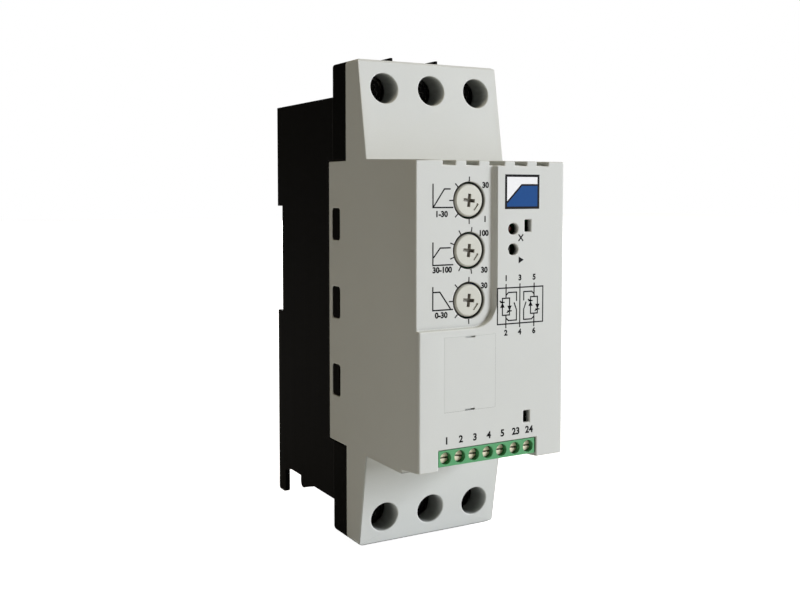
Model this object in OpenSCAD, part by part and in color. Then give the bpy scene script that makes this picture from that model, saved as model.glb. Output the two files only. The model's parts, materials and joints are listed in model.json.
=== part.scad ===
// Three-phase soft starter for rail mounting. Sizes in millimetres, +Z up, front towards -Y.
// Every piece is drawn with Y as the depth behind the front face and then set back by in_frame(),
// so that the origin is the middle of the rail seat.

/* [Overall] */
// Spacing of the poles, which sets the width
pole_pitch = 17.5; // [16.5:0.1:19]
// Front face to the rail seat
front_d = 100; // [95:0.5:110]
// Front face to the joint between cover and base
joint_d = 46.9; // [45:0.1:50]

/* [Front cover] */
// Top of the cover's block above the rail axis
cover_top = 35; // [34:0.5:45]
// Bottom of the cover's block below the rail axis
cover_bottom = 59.2; // [58:0.2:70]
// Wall of the cover
cover_wall = 2; // [1.6:0.1:2.2]
// Front wall of the cover
front_wall = 2; // [1.6:0.1:2.4]
// Side skirts behind the back of the base
skirt_over = 3.3; // [3:0.1:5]
// Fall of the top wall towards the front
top_draft = 1; // [0:0.1:1.5]
// Rise of the bottom wall towards the front
bottom_draft = 1; // [0:0.1:1.5]
// Depth of the raised front part of the bottom wall
step_d = 10; // [9:0.5:12]
// Rise of that front part
step_h = 1; // [0.5:0.1:1.5]
// Radius of the block's upright front edges
block_r = 0.8; // [0.4:0.1:1.2]
// Depth of the dial panel
panel_d = 1.6; // [0.8:0.1:1.8]
// Right edge of the dial panel from the middle
panel_x = 1.3; // [0.5:0.1:2]
// Lower edge of the dial panel below the rail axis
panel_z = 15.6; // [15:0.1:17]
// Lower corner radius of the dial panel
panel_r = 8; // [4:0.5:10]
// Run of the dial panel's sloped right wall
panel_run = 0.9; // [0.2:0.1:1.2]

/* [Vents] */
// Number of vent grooves in the top wall
vent_count = 5; // [3:1:5]
// Spacing of the vent grooves
vent_pitch = 8.2; // [7:0.1:8.6]
// Width of a vent groove
vent_w = 4.25; // [3:0.05:5]
// Middle of the row of vents from the middle of the cover
vent_x = 1.5; // [-1:0.1:2]
// Depth of a vent groove
vent_d = 1.3; // [0.8:0.1:1.4]
// Length of a vent groove from the front face
vent_l = 24; // [16:0.5:27]

/* [Side windows] */
// Number of snap windows on each side
window_count = 3; // [2:1:3]
// Spacing of the snap windows
window_pitch = 26.2; // [20:0.2:28]
// Middle window below the rail axis
window_z = 12.1; // [10:0.1:14]
// Height of a window
window_h = 10.6; // [6:0.2:12]
// Width of a window
window_w = 6; // [4:0.1:6]
// Front edge of a window behind the joint
window_set = 4.5; // [4:0.1:5]
// Corner radius of a window
window_r = 1.1; // [0.6:0.1:1.5]

/* [Terminal ends] */
// Height of the line end above the cover's block
line_h = 32; // [31:0.2:38]
// Height of the load end below the cover's block
load_h = 31.4; // [31:0.2:38]
// Depth of the base behind the joint
base_t = 9.4; // [9:0.1:11]
// Depth of the hoods in front of the joint, at their root
hood_l = 14.4; // [13:0.1:16]
// Fall of the sloped face from root to tip
slope_run = 5.5; // [4:0.1:6]
// Chamfer of the tip edge
tip_c = 0.8; // [0.4:0.1:1.5]
// Radius of the hood's upright edges
hood_r = 0.4; // [0.3:0.1:1.8]
// Corner radius of the whole front outline
outline_r = 0.5; // [0.3:0.1:2.5]
// Diameter of the screwdriver holes
access_d = 9.7; // [9:0.1:10.2]
// Screwdriver holes from the tip edge
access_inset = 9.2; // [8.8:0.1:9.6]
// Radius of the wire entries
wire_r = 3.6; // [2.5:0.1:3.7]
// Length of a wire entry
wire_l = 3.6; // [3:0.1:3.8]
// Height of the phase barriers
barrier_h = 2.3; // [1:0.1:4]
// Thickness of the phase barriers
barrier_t = 1; // [0.8:0.1:2]
// Phase barriers behind the joint
barrier_inset = 0.6; // [0.2:0.1:1.5]
// Length of the phase barriers along the depth
barrier_l = 8.2; // [4:0.1:8.4]

/* [Heat sink] */
// Top of the heat sink above the rail axis
sink_top = 56.2; // [50:0.2:62]
// Bottom of the heat sink below the rail axis
sink_bottom = 79.6; // [76:0.2:84]
// Heat sink behind the rail seat
sink_back = 4.3; // [4.1:0.1:5.5]
// Height of the rail notch
notch_h = 39.2; // [37:0.2:42]
// Thickness of the plate that carries the fins
plate_t = 4.4; // [3.5:0.1:6]
// Thickness of a fin
fin_t = 2; // [1.4:0.1:2.4]
// Gaps between fins on each side of the rail clip's channel
fin_gaps = 3; // [2:1:4]
// Width of the rail clip's channel
channel_w = 15; // [14.5:0.1:16]
// Thickness of the bridge in that channel
bridge_t = 3; // [2.5:0.1:4]
// Depth of the rear foot along Y
foot_l = 5.7; // [4:0.1:8]
// Rear foot below the bottom of the fins
foot_h = 8.7; // [6:0.1:10]
// Corner radius of the rear foot
foot_r = 1; // [0.5:0.1:2]
// Length of the arch between the feet along Y
arch_l = 14.4; // [11:0.1:16]
// Radius of the arch at the rear foot
arch_r = 5; // [2:0.1:6]
// Bite of the arch into the bottom of the fins
arch_bite = 1.2; // [0.5:0.1:3]
// Depth of the front foot along Y
heel_l = 11.5; // [8:0.1:12]
// Front foot below the bottom of the fins
heel_h = 2.8; // [2:0.1:4]
// Radius of the front foot's toe
heel_r = 2; // [0.5:0.1:2]

/* [Rail clip] */
// Width of the mounting rail
rail_w = 35; // [35:0.5:36]
// Thickness of the rail's flange
rail_t = 1; // [0.8:0.1:1.5]
// Clearance of hook and latch to the rail
rail_gap = 0.3; // [0.1:0.05:0.5]
// Grip of hook and latch behind the rail's edges
rail_grip = 2.5; // [1.5:0.1:3]
// Bridge to rail seat, which the clip stands in
clip_d = 11; // [10.5:0.1:13]
// Thickness of the bracket's floor
floor_t = 2; // [1.5:0.1:2.2]
// Thickness of the latch
latch_t = 4; // [3.6:0.1:4.4]
// Width of the latch
latch_w = 9.8; // [9:0.1:10]
// Travel of the latch
latch_travel = 5; // [3:0.1:6]
// Length of the latch below its head
latch_l = 56; // [54:0.5:62]
// Running gap of the latch
latch_gap = 0.3; // [0.2:0.05:0.5]
// Outside diameter of the latch spring
spring_d = 3.6; // [3:0.1:3.6]
// Wire of the latch spring
spring_wire = 0.6; // [0.4:0.05:0.7]
// Length of the latch spring at rest
spring_l = 16; // [14:0.5:18]

/* [Dials] */
// Diameter of a trimmer dial
dial_d = 9.8; // [8:0.1:11]
// Gap around a trimmer dial
dial_gap = 0.6; // [0.2:0.05:0.7]
// Dials from the middle of the cover
dial_x = -7.95; // [-12:0.05:-6.5]
// Middle dial above the rail axis
dial_z = 7.4; // [6:0.1:9]
// Spacing of the dials
dial_pitch = 14.85; // [13:0.05:15]
// Thickness of a dial
dial_t = 3; // [2.6:0.1:3.2]
// Diameter of a dial's spindle
spindle_d = 4; // [3:0.1:5]

/* [Indicators] */
// Diameter of an indicator lamp
lamp_d = 3; // [2:0.1:3.2]
// Gap around an indicator lamp
lamp_gap = 0.22; // [0.15:0.01:0.4]
// Lamps from the middle of the cover
lamp_x = 6.95; // [5:0.05:9]
// Upper lamp above the rail axis
lamp_z = 13.6; // [12:0.1:14]
// Spacing of the lamps
lamp_pitch = 6.2; // [5:0.1:8]

/* [Front slots] */
// Width of the accessory slots
slot_w = 2.25; // [1.5:0.05:3]
// Height of the accessory slots
slot_h = 3.7; // [2:0.1:5]
// Accessory slots from the middle of the cover
slot_x = 12.4; // [12:0.1:16]
// Upper accessory slot above the rail axis
slot_top_z = 14.5; // [10:0.1:18]
// Lower accessory slot above the control terminal block
slot_lift = 7.1; // [5:0.1:9]

/* [Option cover] */
// Width of the blind option cover
option_w = 18.2; // [14:0.1:19]
// Height of the blind option cover
option_h = 22.2; // [18:0.1:23]
// Option cover from the middle of the front
option_x = -8.4; // [-10:0.1:-7.5]
// Option cover below the dial panel
option_drop = 2.2; // [1.5:0.1:4]
// Thickness of the option cover
option_t = 1; // [0.8:0.1:1.2]
// Gap around the option cover
option_gap = 0.1; // [0.1:0.01:0.3]
// Seat around the option cover's opening
option_seat = 2; // [1:0.1:3]

/* [Control terminals] */
// Number of control terminals
control_poles = 7; // [4:1:7]
// Spacing of the control terminals
control_pitch = 5; // [4.6:0.05:5.08]
// Middle of the control terminal block from the middle of the cover
control_x = -1.6; // [-3:0.1:0]
// Visible height of the control terminal block
control_h = 4.8; // [4.6:0.1:5.4]
// Control terminal block above the lower front edge
control_lift = 1.1; // [0.5:0.1:2]
// Height of the block's part behind the front wall
control_back_h = 3.8; // [2:0.1:4]
// Front face to the control terminal block
control_d = 0.5; // [0.2:0.1:1]
// Gap around the control terminal block
control_gap = 0.25; // [0.1:0.05:0.5]
// Radius of the holes over the control screws
control_hole_r = 1.85; // [1.8:0.05:2]

/* [Boards] */
// Thickness of the boards
board_t = 1.6; // [1:0.1:2]
// Front face to the control board
control_board_d = 10.2; // [9.9:0.1:11]
// Front of the power board before the back of the base
power_stand = 23.3; // [22:0.1:24]

/* [Power stage] */
// Height of the thyristor modules
module_h = 16; // [14:0.1:17]
// Clearance of a thyristor module within its pole
module_gap = 0.5; // [0.4:0.1:3]
// Length of a thyristor module
module_l = 38; // [36:0.2:40]
// Length of a module's raised middle
module_mid_l = 24; // [22:0.2:25]
// Thickness of a module's flanges
module_flange_t = 4; // [3:0.1:5]
// Thickness of the busbars
bar_t = 1.2; // [1:0.1:1.5]
// Width of the busbars
bar_w = 7.8; // [6:0.1:8]
// Gap around the busbars
bar_gap = 0.2; // [0.1:0.05:0.3]

/* [Hidden] */
$fn = 48;
eps = 0.01;
past = 1;
far = 300;

// Heights of the cover's block and of its front edges
top_z = cover_top;
bottom_z = -cover_bottom;
front_top_z = top_z - top_draft;
front_bottom_z = bottom_z + step_h + bottom_draft;
poles = [-pole_pitch, 0, pole_pitch];
body_w = len(poles) * pole_pitch;
half_w = body_w / 2;
inner_w = body_w - 2 * cover_wall;
mid_wall = cover_wall / 2;

// Depths behind the front face, counted from the joint
base_d = joint_d + base_t;
skirt_d = base_d + skirt_over;
slope_root_d = joint_d - hood_l;
slope_tip_d = slope_root_d + slope_run;
window_d = joint_d + window_set;
panel_back_d = panel_d + front_wall;
option_z = panel_z + option_drop + option_h / 2;

// The base's tub slides into the cover with a gap
tub_gap = 0.35;
tub_wall = 1.7;
tub_half = half_w - cover_wall - tub_gap;
tub_l = 32.3;
tub_front_d = base_d - tub_l;
tub_floor_t = 2;
tub_top_z = top_z - cover_wall - tub_gap;
tub_bottom_z = bottom_z + cover_wall + tub_gap;
neck_gap = 0.3;
catch_gap = 0.2;
catch_flush = 0.25;
catch_out = tub_gap + cover_wall - catch_flush;
catch_nose = 0.6;
catch_ramp = 1.6;

// Terminal clamps, from the tip edge of their end
clamp_w = 11;
clamp_l = 11.6;
clamp_wall = 1.2;
clamp_set = 0.7;
clamp_gap = 0.2;
clamp_drop = 0.3;
base_back_wall = 1.4;
clamp_front_d = joint_d + clamp_set;
clamp_back_d = base_d - base_back_wall;
clamp_top_inset = wire_l + clamp_drop;
wire_d = (clamp_front_d + clamp_back_d) / 2;
clamp_thread_r = 2.5;
screw_gap = 0.1;
screw_head_r = 3.5;
screw_head_t = 2.2;
screw_seat_d = clamp_front_d - clamp_gap;
screw_l = 4.2;
tube_wall = 1.3;
tube_end = 1;
partition_t = 1.6;

// Busbars lie at the back of the clamps
bar_back_d = clamp_back_d - clamp_wall - bar_gap;
bar_front_d = bar_back_d - bar_t;
bar_inset = 4.5;
bar_over_module = 6;

// Thyristor modules stand on the heat sink, on both sides of the middle busbar
module_d = base_d - module_h;
module_w = pole_pitch - module_gap;
module_bar_gap = 0.4;
module_x = bar_w / 2 + bar_gap + module_bar_gap + module_w / 2;
module_z = -7;
module_screw_inset = 3;
module_screw_z = module_l / 2 - module_screw_inset;
module_screw_r = 2;
module_screw_l = 8;
bar_over_flange = 2;
flange_front_d = base_d - module_flange_t;
module_window_gap = 0.4;

// Housing screws and board pillars
pillar_x = 10;
pillar_r = 2.8;
pillar_inset = 3.2;
pillar_bore_l = 12;
base_screw_step = 5.8;
base_screw_l = 7;
sink_bore_l = 7;
m4_r = 2;
m3_r = 1.5;
m2_r = 1;
m2_l = 4.5;
m2_head_r = 2;
m2_head_t = 1.4;
m4_head_r = 2.6;
m4_head_t = 2.6;
m3_head_r = 2.8;
m3_head_t = 2;
thread_gap = 0.1;

// Heat sink in plan
pad_d = skirt_d + neck_gap;
plate_back_d = pad_d + plate_t;
sink_end_d = front_d + sink_back;
pad_half = half_w - cover_wall - tub_gap;
bridge_back_d = front_d - clip_d;
inner_fin_x = channel_w / 2 + fin_t / 2;
outer_fin_x = half_w - fin_t / 2;
fin_xs = [for (i = [0 : fin_gaps]) inner_fin_x + (outer_fin_x - inner_fin_x) * i / fin_gaps];
foot_front_d = sink_end_d - foot_l;
heel_back_d = foot_front_d - arch_l;
heel_front_d = heel_back_d - heel_l;
toe_d = heel_back_d - heel_r;
toe_z = -sink_bottom - heel_h;
arch_top_z = -sink_bottom + arch_bite;

// Rail clip, with the rail seat at front_d
clip_half = channel_w / 2 - latch_gap;
clip_floor_d = bridge_back_d + floor_t;
rail_half = rail_w / 2;
nose_d = front_d + rail_t + rail_gap;
nose_inset = 0.5;
nose_back_d = sink_end_d - nose_inset;
hook_h = 12.2;
hook_z = rail_half + rail_gap;
hook_top_z = hook_z + hook_h;
bracket_screw_z = 9;
latch_front_d = clip_floor_d + latch_gap;
latch_back_d = latch_front_d + latch_t;
latch_half = latch_w / 2;
head_top_z = -rail_half - rail_gap;
head_h = 10;
head_bottom_z = head_top_z - head_h;
latch_bottom_z = head_bottom_z - latch_l;
latch_slot_half = 2.4;
latch_land = 2.2;
stop_half = 1.9;
stop_h = 4;
stop_top_z = head_bottom_z - latch_land - spring_l;
guide_l = 10;
bracket_bottom_z = stop_top_z - stop_h - guide_l;
guide_top_z = head_bottom_z - latch_travel - 2 * latch_gap;
guide_lip = 0.9;
guide_lip_t = 1.4;
guide_back_d = latch_back_d + latch_gap + guide_lip_t;
lug_hole_h = 2;
lug_hole_inset = 3;

// Dials and potentiometers
dial_sink = 0.05;
dial_front_d = panel_d + dial_sink;
dial_zs = [dial_z + dial_pitch, dial_z, dial_z - dial_pitch];
dial_edge = 0.5;
cross_l = 3.9;
cross_w = 1;
cross_d = 1.5;
cross_turn = 6;
pointer_turn = 129;
pot_w = 9.5;
pot_gap = 0.5;
pot_front_d = dial_front_d + dial_t + pot_gap;
spindle_gap = 0.3;
spindle_end = 0.8;

// Lamps
lamp_zs = [lamp_z, lamp_z - lamp_pitch];
lamp_front_d = 1.9;
lamp_body_l = 5;
lamp_rim = 0.4;
lamp_rim_t = 1;
lead_w = 0.5;
lead_pitch = 1.27;

// Control terminal block
control_bottom_z = front_bottom_z + control_lift;
control_top_z = control_bottom_z + control_h;
control_half = control_poles * control_pitch / 2;
control_screw_z = (control_bottom_z + control_top_z) / 2;
control_xs = [for (i = [0 : control_poles - 1]) control_x + (i - (control_poles - 1) / 2) * control_pitch];
control_cell_half = 1.75;
control_cell_front_d = 3;
control_cell_back_d = 8.4;
control_cell_h = 5;
control_clamp_gap = 0.15;
control_clamp_wall = 0.6;
control_head_set = 1.4;
control_head_d = control_d + control_head_set;
control_head_t = 1.1;
control_shank_r = 1.1;
control_shank_l = 2;
control_slot_w = 0.5;

// Boards
board_gap = 0.4;
board_half = tub_half - tub_wall - board_gap;
control_board_bottom_z = front_bottom_z + cover_wall + board_gap;
control_board_top_z = front_top_z - cover_wall - board_gap;
power_board_top_z = tub_top_z - tub_wall - board_gap;
power_board_bottom_z = tub_bottom_z + tub_wall + board_gap;
post_r = 2.5;
post_inset_x = 2.5;
post_inset_z = 3.5;
post_lift = 3;
post_top_z = control_board_top_z - post_inset_z;
post_low_z = control_top_z + control_back_h + post_lift;
post_xs = [-board_half + post_inset_x, board_half - post_inset_x];
pillar_top_z = power_board_top_z - pillar_inset;
pillar_low_z = power_board_bottom_z + pillar_inset;
power_board_d = base_d - power_stand;
power_back_d = power_board_d + board_t;
power_screw_l = board_t + pillar_bore_l - 2 * m3_r;
control_back_d = control_board_d + board_t;

// Parts on the boards, with their sizes across, in depth and in height
part_gap = 0.7;
relay_size = [14.5, 15, 29];
relay_x = board_half - relay_size[0] / 2 - 2 * part_gap;
relay_z = pillar_top_z - m3_head_r - part_gap - relay_size[2] / 2;
signal_relay_size = [5, 15, 28];
transformer_size = [18, 14.5, 22];
transformer_x = board_half - part_gap - transformer_size[0] / 2;
transformer_z = pillar_low_z + m3_head_r + part_gap + transformer_size[2] / 2;
capacitor_r = 4.4;
capacitor_l = 15;
capacitor_pitch = 9.6;
capacitor_x = -board_half + 2 * capacitor_r + part_gap;
capacitor_xs = [capacitor_x, capacitor_x + capacitor_pitch];
capacitor_z = relay_z - relay_size[2] / 2 - capacitor_r - 2 * part_gap;
varistor_r = 5.5;
varistor_t = 3.6;
varistor_stand = 8;
varistor_lead_pitch = 5;
varistor_pitch = 5.4;
varistor_x = -board_half + varistor_t + part_gap;
varistor_xs = [for (i = [0 : 2]) varistor_x + i * varistor_pitch];
varistor_z = pillar_low_z + m3_head_r + part_gap + varistor_r;
header_w = 2.5;
header_d = 8.5;
header_pins = 6;
header_pitch = 2.54;
pin_w = 0.64;
header_z = varistor_z + varistor_r + part_gap;
processor_w = 10;
processor_t = 1.2;
processor_z = -25;
sensor_w = 5;
sensor_h = 6;

// Sets a piece drawn from the front face into the frame of the rail seat
module in_frame() translate([0, -front_d, 0]) children();

// A box between two corners, given as a span along each axis
module span(x, y, z) translate([x[0], y[0], z[0]]) cube([x[1] - x[0], y[1] - y[0], z[1] - z[0]]);

// A round bar along the depth
module rod(r, d, x = 0, z = 0) translate([x, d[0], z]) rotate([-90, 0, 0]) cylinder(r = r, h = d[1] - d[0]);

// A round bar along the height
module post(r, z, x = 0, d = 0) translate([x, d, z[0]]) cylinder(r = r, h = z[1] - z[0]);

// A side outline of depth and height, extruded across the width
module across(w) rotate([90, 0, 90]) linear_extrude(height = w, center = true) children();

// The line end stands on the cover's block, and the load end hangs mirrored below it
module at_line() translate([0, 0, top_z]) children();
module at_load() translate([0, 0, bottom_z]) mirror([0, 0, 1]) children();

// A plan outline with its two front corners rounded
module round_front(w, d, r) {
    translate([-w / 2, r]) square([w, d - r]);
    translate([-w / 2 + r, 0]) square([w - 2 * r, d]);
    for (side = [-1, 1]) translate([side * (w / 2 - r), r]) circle(r);
}

// A rectangle with four rounded corners, from its lower left corner
module round_rect(w, h, r) {
    translate([r, 0]) square([w - 2 * r, h]);
    translate([0, r]) square([w, h - 2 * r]);
    for (x = [r, w - r], y = [r, h - r]) translate([x, y]) circle(r);
}

// Depth of the sloped hood face at a height above its root
function slope_d(z, h) = slope_root_d + (slope_tip_d - slope_root_d) * z / h;

module block_outline() polygon([
    [0, front_bottom_z], [0, front_top_z], [slope_root_d, top_z], [skirt_d, top_z], [skirt_d, bottom_z],
    [step_d, bottom_z], [step_d, bottom_z + step_h]
]);

module hood(h) {
    lean = atan((slope_tip_d - slope_root_d) / h);
    intersection() {
        across(body_w) polygon([
            [slope_root_d + past, -past], [slope_root_d, 0], [slope_d(h - tip_c, h), h - tip_c],
            [slope_tip_d + tip_c, h], [joint_d, h], [joint_d, -past]
        ]);
        translate([0, slope_root_d, 0]) rotate([-lean, 0, 0]) translate([0, 0, -h])
            linear_extrude(height = 3 * h) round_front(body_w, 2 * joint_d, hood_r);
    }
}

module cover_outside() {
    whole_h = line_h + load_h + top_z - bottom_z;
    intersection() {
        union() {
            intersection() {
                across(body_w) block_outline();
                translate([0, 0, bottom_z - past]) linear_extrude(height = top_z - bottom_z + 2 * past)
                    round_front(body_w, skirt_d + past, block_r);
            }
            at_line() hood(line_h);
            at_load() hood(load_h);
        }
        translate([-half_w, far / 2, bottom_z - load_h]) rotate([90, 0, 0])
            linear_extrude(height = far) round_rect(body_w, whole_h, outline_r);
    }
}

module hood_hollow(h) across(inner_w) polygon([
    [slope_root_d + cover_wall, 0], [slope_d(h - cover_wall, h) + cover_wall, h - cover_wall],
    [joint_d + past, h - cover_wall], [joint_d + past, 0]
]);

module cover_hollow() {
    floor_z = bottom_z + cover_wall;
    across(inner_w) polygon([
        [front_wall, front_top_z - cover_wall], [slope_root_d, top_z - cover_wall],
        [skirt_d + past, top_z - cover_wall], [skirt_d + past, floor_z], [step_d + cover_wall, floor_z],
        [step_d + cover_wall, floor_z + step_h], [front_wall, front_bottom_z + cover_wall]
    ]);
    span([-inner_w / 2, inner_w / 2], [joint_d, skirt_d + past], [bottom_z - past, top_z + past]);
    at_line() hood_hollow(line_h);
    at_load() hood_hollow(load_h);
}

// Wall behind the dial panel, as thick as the rest of the front
module panel_backing() span([-half_w + mid_wall, panel_x + front_wall], [front_wall / 2, panel_back_d],
    [-panel_z - front_wall, front_top_z - mid_wall]);

// Room of a hood up to the middle of its walls
module hood_core(h) across(body_w - 2 * mid_wall) polygon([
    [slope_root_d + mid_wall, -mid_wall], [slope_d(h - mid_wall, h) + mid_wall, h - mid_wall],
    [joint_d, h - mid_wall], [joint_d, -mid_wall]
]);

// Screwdriver tubes and phase partitions behind a sloped face, ending in the middle of the walls
module hood_fittings(h) intersection() {
    hood_core(h);
    union() {
        for (x = poles)
            rod(access_d / 2 + tube_wall, [slope_root_d, joint_d - tube_end], x, h - access_inset);
        for (side = [-1, 1]) translate([side * pole_pitch / 2, 0, 0])
            span([-partition_t / 2, partition_t / 2], [slope_root_d, joint_d - clamp_gap], [-h, h]);
    }
}

module cover_fittings() {
    at_line() hood_fittings(line_h);
    at_load() hood_fittings(load_h);
    for (x = post_xs, z = [post_top_z, post_low_z]) rod(post_r, [front_wall / 2, control_board_d], x, z);
    panel_backing();
}

// Dial panel: a shallow pocket open to the left and to the top, with a sloped right wall
module dial_panel() {
    depth = panel_d + past;
    slope = panel_run / panel_d;
    intersection() {
        translate([0, 0, -panel_z]) linear_extrude(height = far) polygon([
            [-far, -past], [panel_x + past * slope, -past], [panel_x - panel_run, panel_d], [-far, panel_d]
        ]);
        translate([0, depth - past, 0]) rotate([90, 0, 0]) linear_extrude(height = depth) union() {
            translate([-far, -panel_z]) square([far + panel_x - panel_r, far]);
            translate([-far, -panel_z + panel_r]) square([far + panel_x + past, far]);
            translate([panel_x - panel_r, -panel_z + panel_r]) circle(panel_r);
        }
    }
}

module vents() {
    for (i = [0 : vent_count - 1]) {
        x = vent_x + (i - (vent_count - 1) / 2) * vent_pitch;
        translate([x, 0, 0]) {
            span([-vent_w / 2, vent_w / 2], [-past, vent_l], [front_top_z - vent_d, top_z + past]);
            span([-vent_w / 4, vent_w / 4], [panel_back_d + past, vent_l - past],
                [front_top_z - cover_wall - past, top_z + past]);
        }
    }
}

module side_windows(gap) {
    for (i = [0 : window_count - 1]) {
        z = -window_z + (i - (window_count - 1) / 2) * window_pitch;
        across(far) translate([window_d + gap, z - window_h / 2 + gap])
            round_rect(window_w - 2 * gap, window_h - 2 * gap, window_r - gap);
    }
}

module cover_openings() {
    through = [-past, panel_back_d + past];
    at_line() access_holes(line_h);
    at_load() access_holes(load_h);
    for (x = post_xs, z = [post_top_z, post_low_z])
        rod(m2_r + thread_gap, [panel_back_d + past, control_board_d + past], x, z);
    for (z = dial_zs) rod(dial_d / 2 + dial_gap, through, dial_x, z);
    for (z = lamp_zs) rod(lamp_d / 2 + lamp_gap, through, lamp_x, z);
    for (z = [slot_top_z, control_top_z + slot_lift])
        translate([slot_x, 0, z]) span([-slot_w / 2, slot_w / 2], through, [-slot_h / 2, slot_h / 2]);
    translate([option_x, 0, -option_z]) {
        span([-option_w / 2, option_w / 2], [-past, option_t], [-option_h / 2, option_h / 2]);
        span([-option_w / 2 + option_seat, option_w / 2 - option_seat], through,
            [-option_h / 2 + option_seat, option_h / 2 - option_seat]);
    }
    translate([control_x, 0, 0]) span([-control_half - control_gap, control_half + control_gap],
        [-past, control_board_d], [bottom_z - past, control_top_z + control_gap]);
    dial_panel();
    vents();
    side_windows(0);
}

module access_holes(h) {
    for (x = poles) rod(access_d / 2, [slope_root_d - past, joint_d], x, h - access_inset);
}

// One-piece light-grey moulding: front block, two sloped terminal hoods and side skirts
module front_cover() color("gainsboro") in_frame() difference() {
    union() {
        difference() {
            cover_outside();
            cover_hollow();
        }
        cover_fittings();
    }
    cover_openings();
}

// Blind cover in the front's option bay: a flush plate with two snap tongues and pry notches
module option_cover() color("gainsboro") in_frame() translate([option_x, 0, -option_z]) {
    half = option_w / 2 - option_gap;
    high = option_h / 2 - option_gap;
    tongue_w = 4;
    tongue_t = 1.2;
    notch_w = 3.4;
    notch_h = 0.5;
    notch_d = 0.8;
    difference() {
        span([-half, half], [0, option_t], [-high, high]);
        for (side = [-1, 1]) translate([0, 0, side * high])
            span([-notch_w / 2, notch_w / 2], [-past, notch_d], [-notch_h, notch_h]);
    }
    for (side = [-1, 1]) mirror([0, 0, side < 0 ? 1 : 0]) {
        tongue_z = option_h / 2 - option_seat - option_gap;
        across(tongue_w) polygon([
            [option_t - eps, tongue_z - tongue_t], [option_t - eps, tongue_z],
            [front_wall + option_gap, tongue_z], [front_wall + option_gap, tongue_z + option_seat / 4],
            [front_wall + tongue_t, tongue_z - tongue_t]
        ]);
    }
}

// Terminal block of one end, with clamp cells, wire entries, busbar slots and phase barriers
module base_end(h) {
    cell_half = clamp_w / 2 + clamp_gap;
    cell_back_d = clamp_back_d + clamp_gap;
    cell_top = h - wire_l;
    cell_bottom = h - clamp_top_inset - clamp_l - clamp_gap;
    slot_half = bar_w / 2 + bar_gap;
    difference() {
        union() {
            intersection() {
                span([-half_w, half_w], [joint_d, base_d], [neck_gap, h]);
                translate([-half_w, far / 2, -h]) rotate([90, 0, 0])
                    linear_extrude(height = far) round_rect(body_w, 2 * h, outline_r);
            }
            span([-tub_half, tub_half], [joint_d, base_d], [-cover_wall - tub_gap - eps, neck_gap + eps]);
            for (side = [-1, 1]) translate([side * pole_pitch / 2, joint_d + barrier_inset, h])
                span([-barrier_t / 2, barrier_t / 2], [0, barrier_l], [-past, barrier_h]);
        }
        for (x = poles) translate([x, 0, 0]) {
            span([-cell_half, cell_half], [joint_d - past, cell_back_d], [cell_bottom, cell_top]);
            post(wire_r, [cell_top - past, h + past], 0, wire_d);
            span([-slot_half, slot_half], [bar_front_d - bar_gap, bar_back_d + bar_gap],
                [-cover_wall - tub_gap - tub_wall - past, cell_bottom + past]);
        }
    }
}

// Snap catches that stand in the cover's side windows
module catches() intersection() {
    side_windows(catch_gap);
    union() for (side = [0, 1]) mirror([side, 0, 0])
        linear_extrude(height = far, center = true) polygon([
            [tub_half - eps, window_d], [tub_half + catch_nose, window_d],
            [tub_half + catch_out, window_d + catch_ramp], [tub_half + catch_out, skirt_d], [tub_half, skirt_d],
            [tub_half, base_d], [tub_half - eps, base_d]
        ]);
}

// Black base: a tub behind the cover, with the terminal block of each end
module base_housing() color("dimgray") in_frame() difference() {
    union() {
        difference() {
            span([-tub_half, tub_half], [tub_front_d, base_d], [tub_bottom_z, tub_top_z]);
            span([-tub_half + tub_wall, tub_half - tub_wall], [tub_front_d - past, base_d - tub_floor_t],
                [tub_bottom_z + tub_wall, tub_top_z - tub_wall]);
        }
        at_line() base_end(line_h);
        at_load() base_end(load_h);
        catches();
        for (x = [-pillar_x, pillar_x], z = [pillar_top_z, pillar_low_z])
            rod(pillar_r, [power_back_d, base_d - tub_floor_t + eps], x, z);
    }
    busbar_ways();
    module_window = module_x + module_w / 2 + module_window_gap;
    translate([0, 0, module_z]) span([-module_window, module_window],
        [base_d - tub_floor_t - past, base_d + past],
        [-module_l / 2 - module_window_gap, module_l / 2 + module_window_gap]);
    for (x = [-pillar_x, pillar_x], z = [pillar_top_z, pillar_low_z])
        rod(m3_r + thread_gap, [power_back_d - past, power_back_d + pillar_bore_l], x, z);
    for (x = [-pillar_x, pillar_x], z = base_screw_zs())
        rod(m4_r + thread_gap, [base_d - tub_floor_t - past, base_d + past], x, z);
}

function base_screw_zs() = [pillar_top_z - base_screw_step, pillar_low_z + base_screw_step];

// Ways for the busbars through the tub's end walls
module busbar_ways() {
    slot_half = bar_w / 2 + bar_gap;
    for (x = poles) translate([x, 0, 0])
        span([-slot_half, slot_half], [bar_front_d - bar_gap, bar_back_d + bar_gap],
            [tub_bottom_z - past, tub_top_z + past]);
}

// Side outline of the heat sink, with the rail notch and the feet of its outer plates
module sink_side() difference() {
    union() {
        translate([base_d, -sink_bottom]) square([sink_end_d - base_d, sink_bottom + sink_top]);
        translate([foot_front_d, -sink_bottom - foot_h]) round_rect(foot_l, foot_h + 2 * foot_r, foot_r);
        polygon([
            [heel_front_d, -sink_bottom + past], [heel_front_d, -sink_bottom], [toe_d, toe_z],
            [toe_d, -sink_bottom + past]
        ]);
        translate([toe_d, toe_z + heel_r]) {
            circle(heel_r);
            square([heel_r + past, heel_h]);
        }
    }
    translate([front_d, -notch_h / 2]) square([far, notch_h]);
    translate([heel_back_d, arch_top_z - far]) square([arch_l - arch_r, far]);
    translate([heel_back_d, arch_top_z - arch_r - far]) square([arch_l, far]);
    translate([foot_front_d - arch_r, arch_top_z - arch_r]) circle(arch_r);
}

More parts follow.
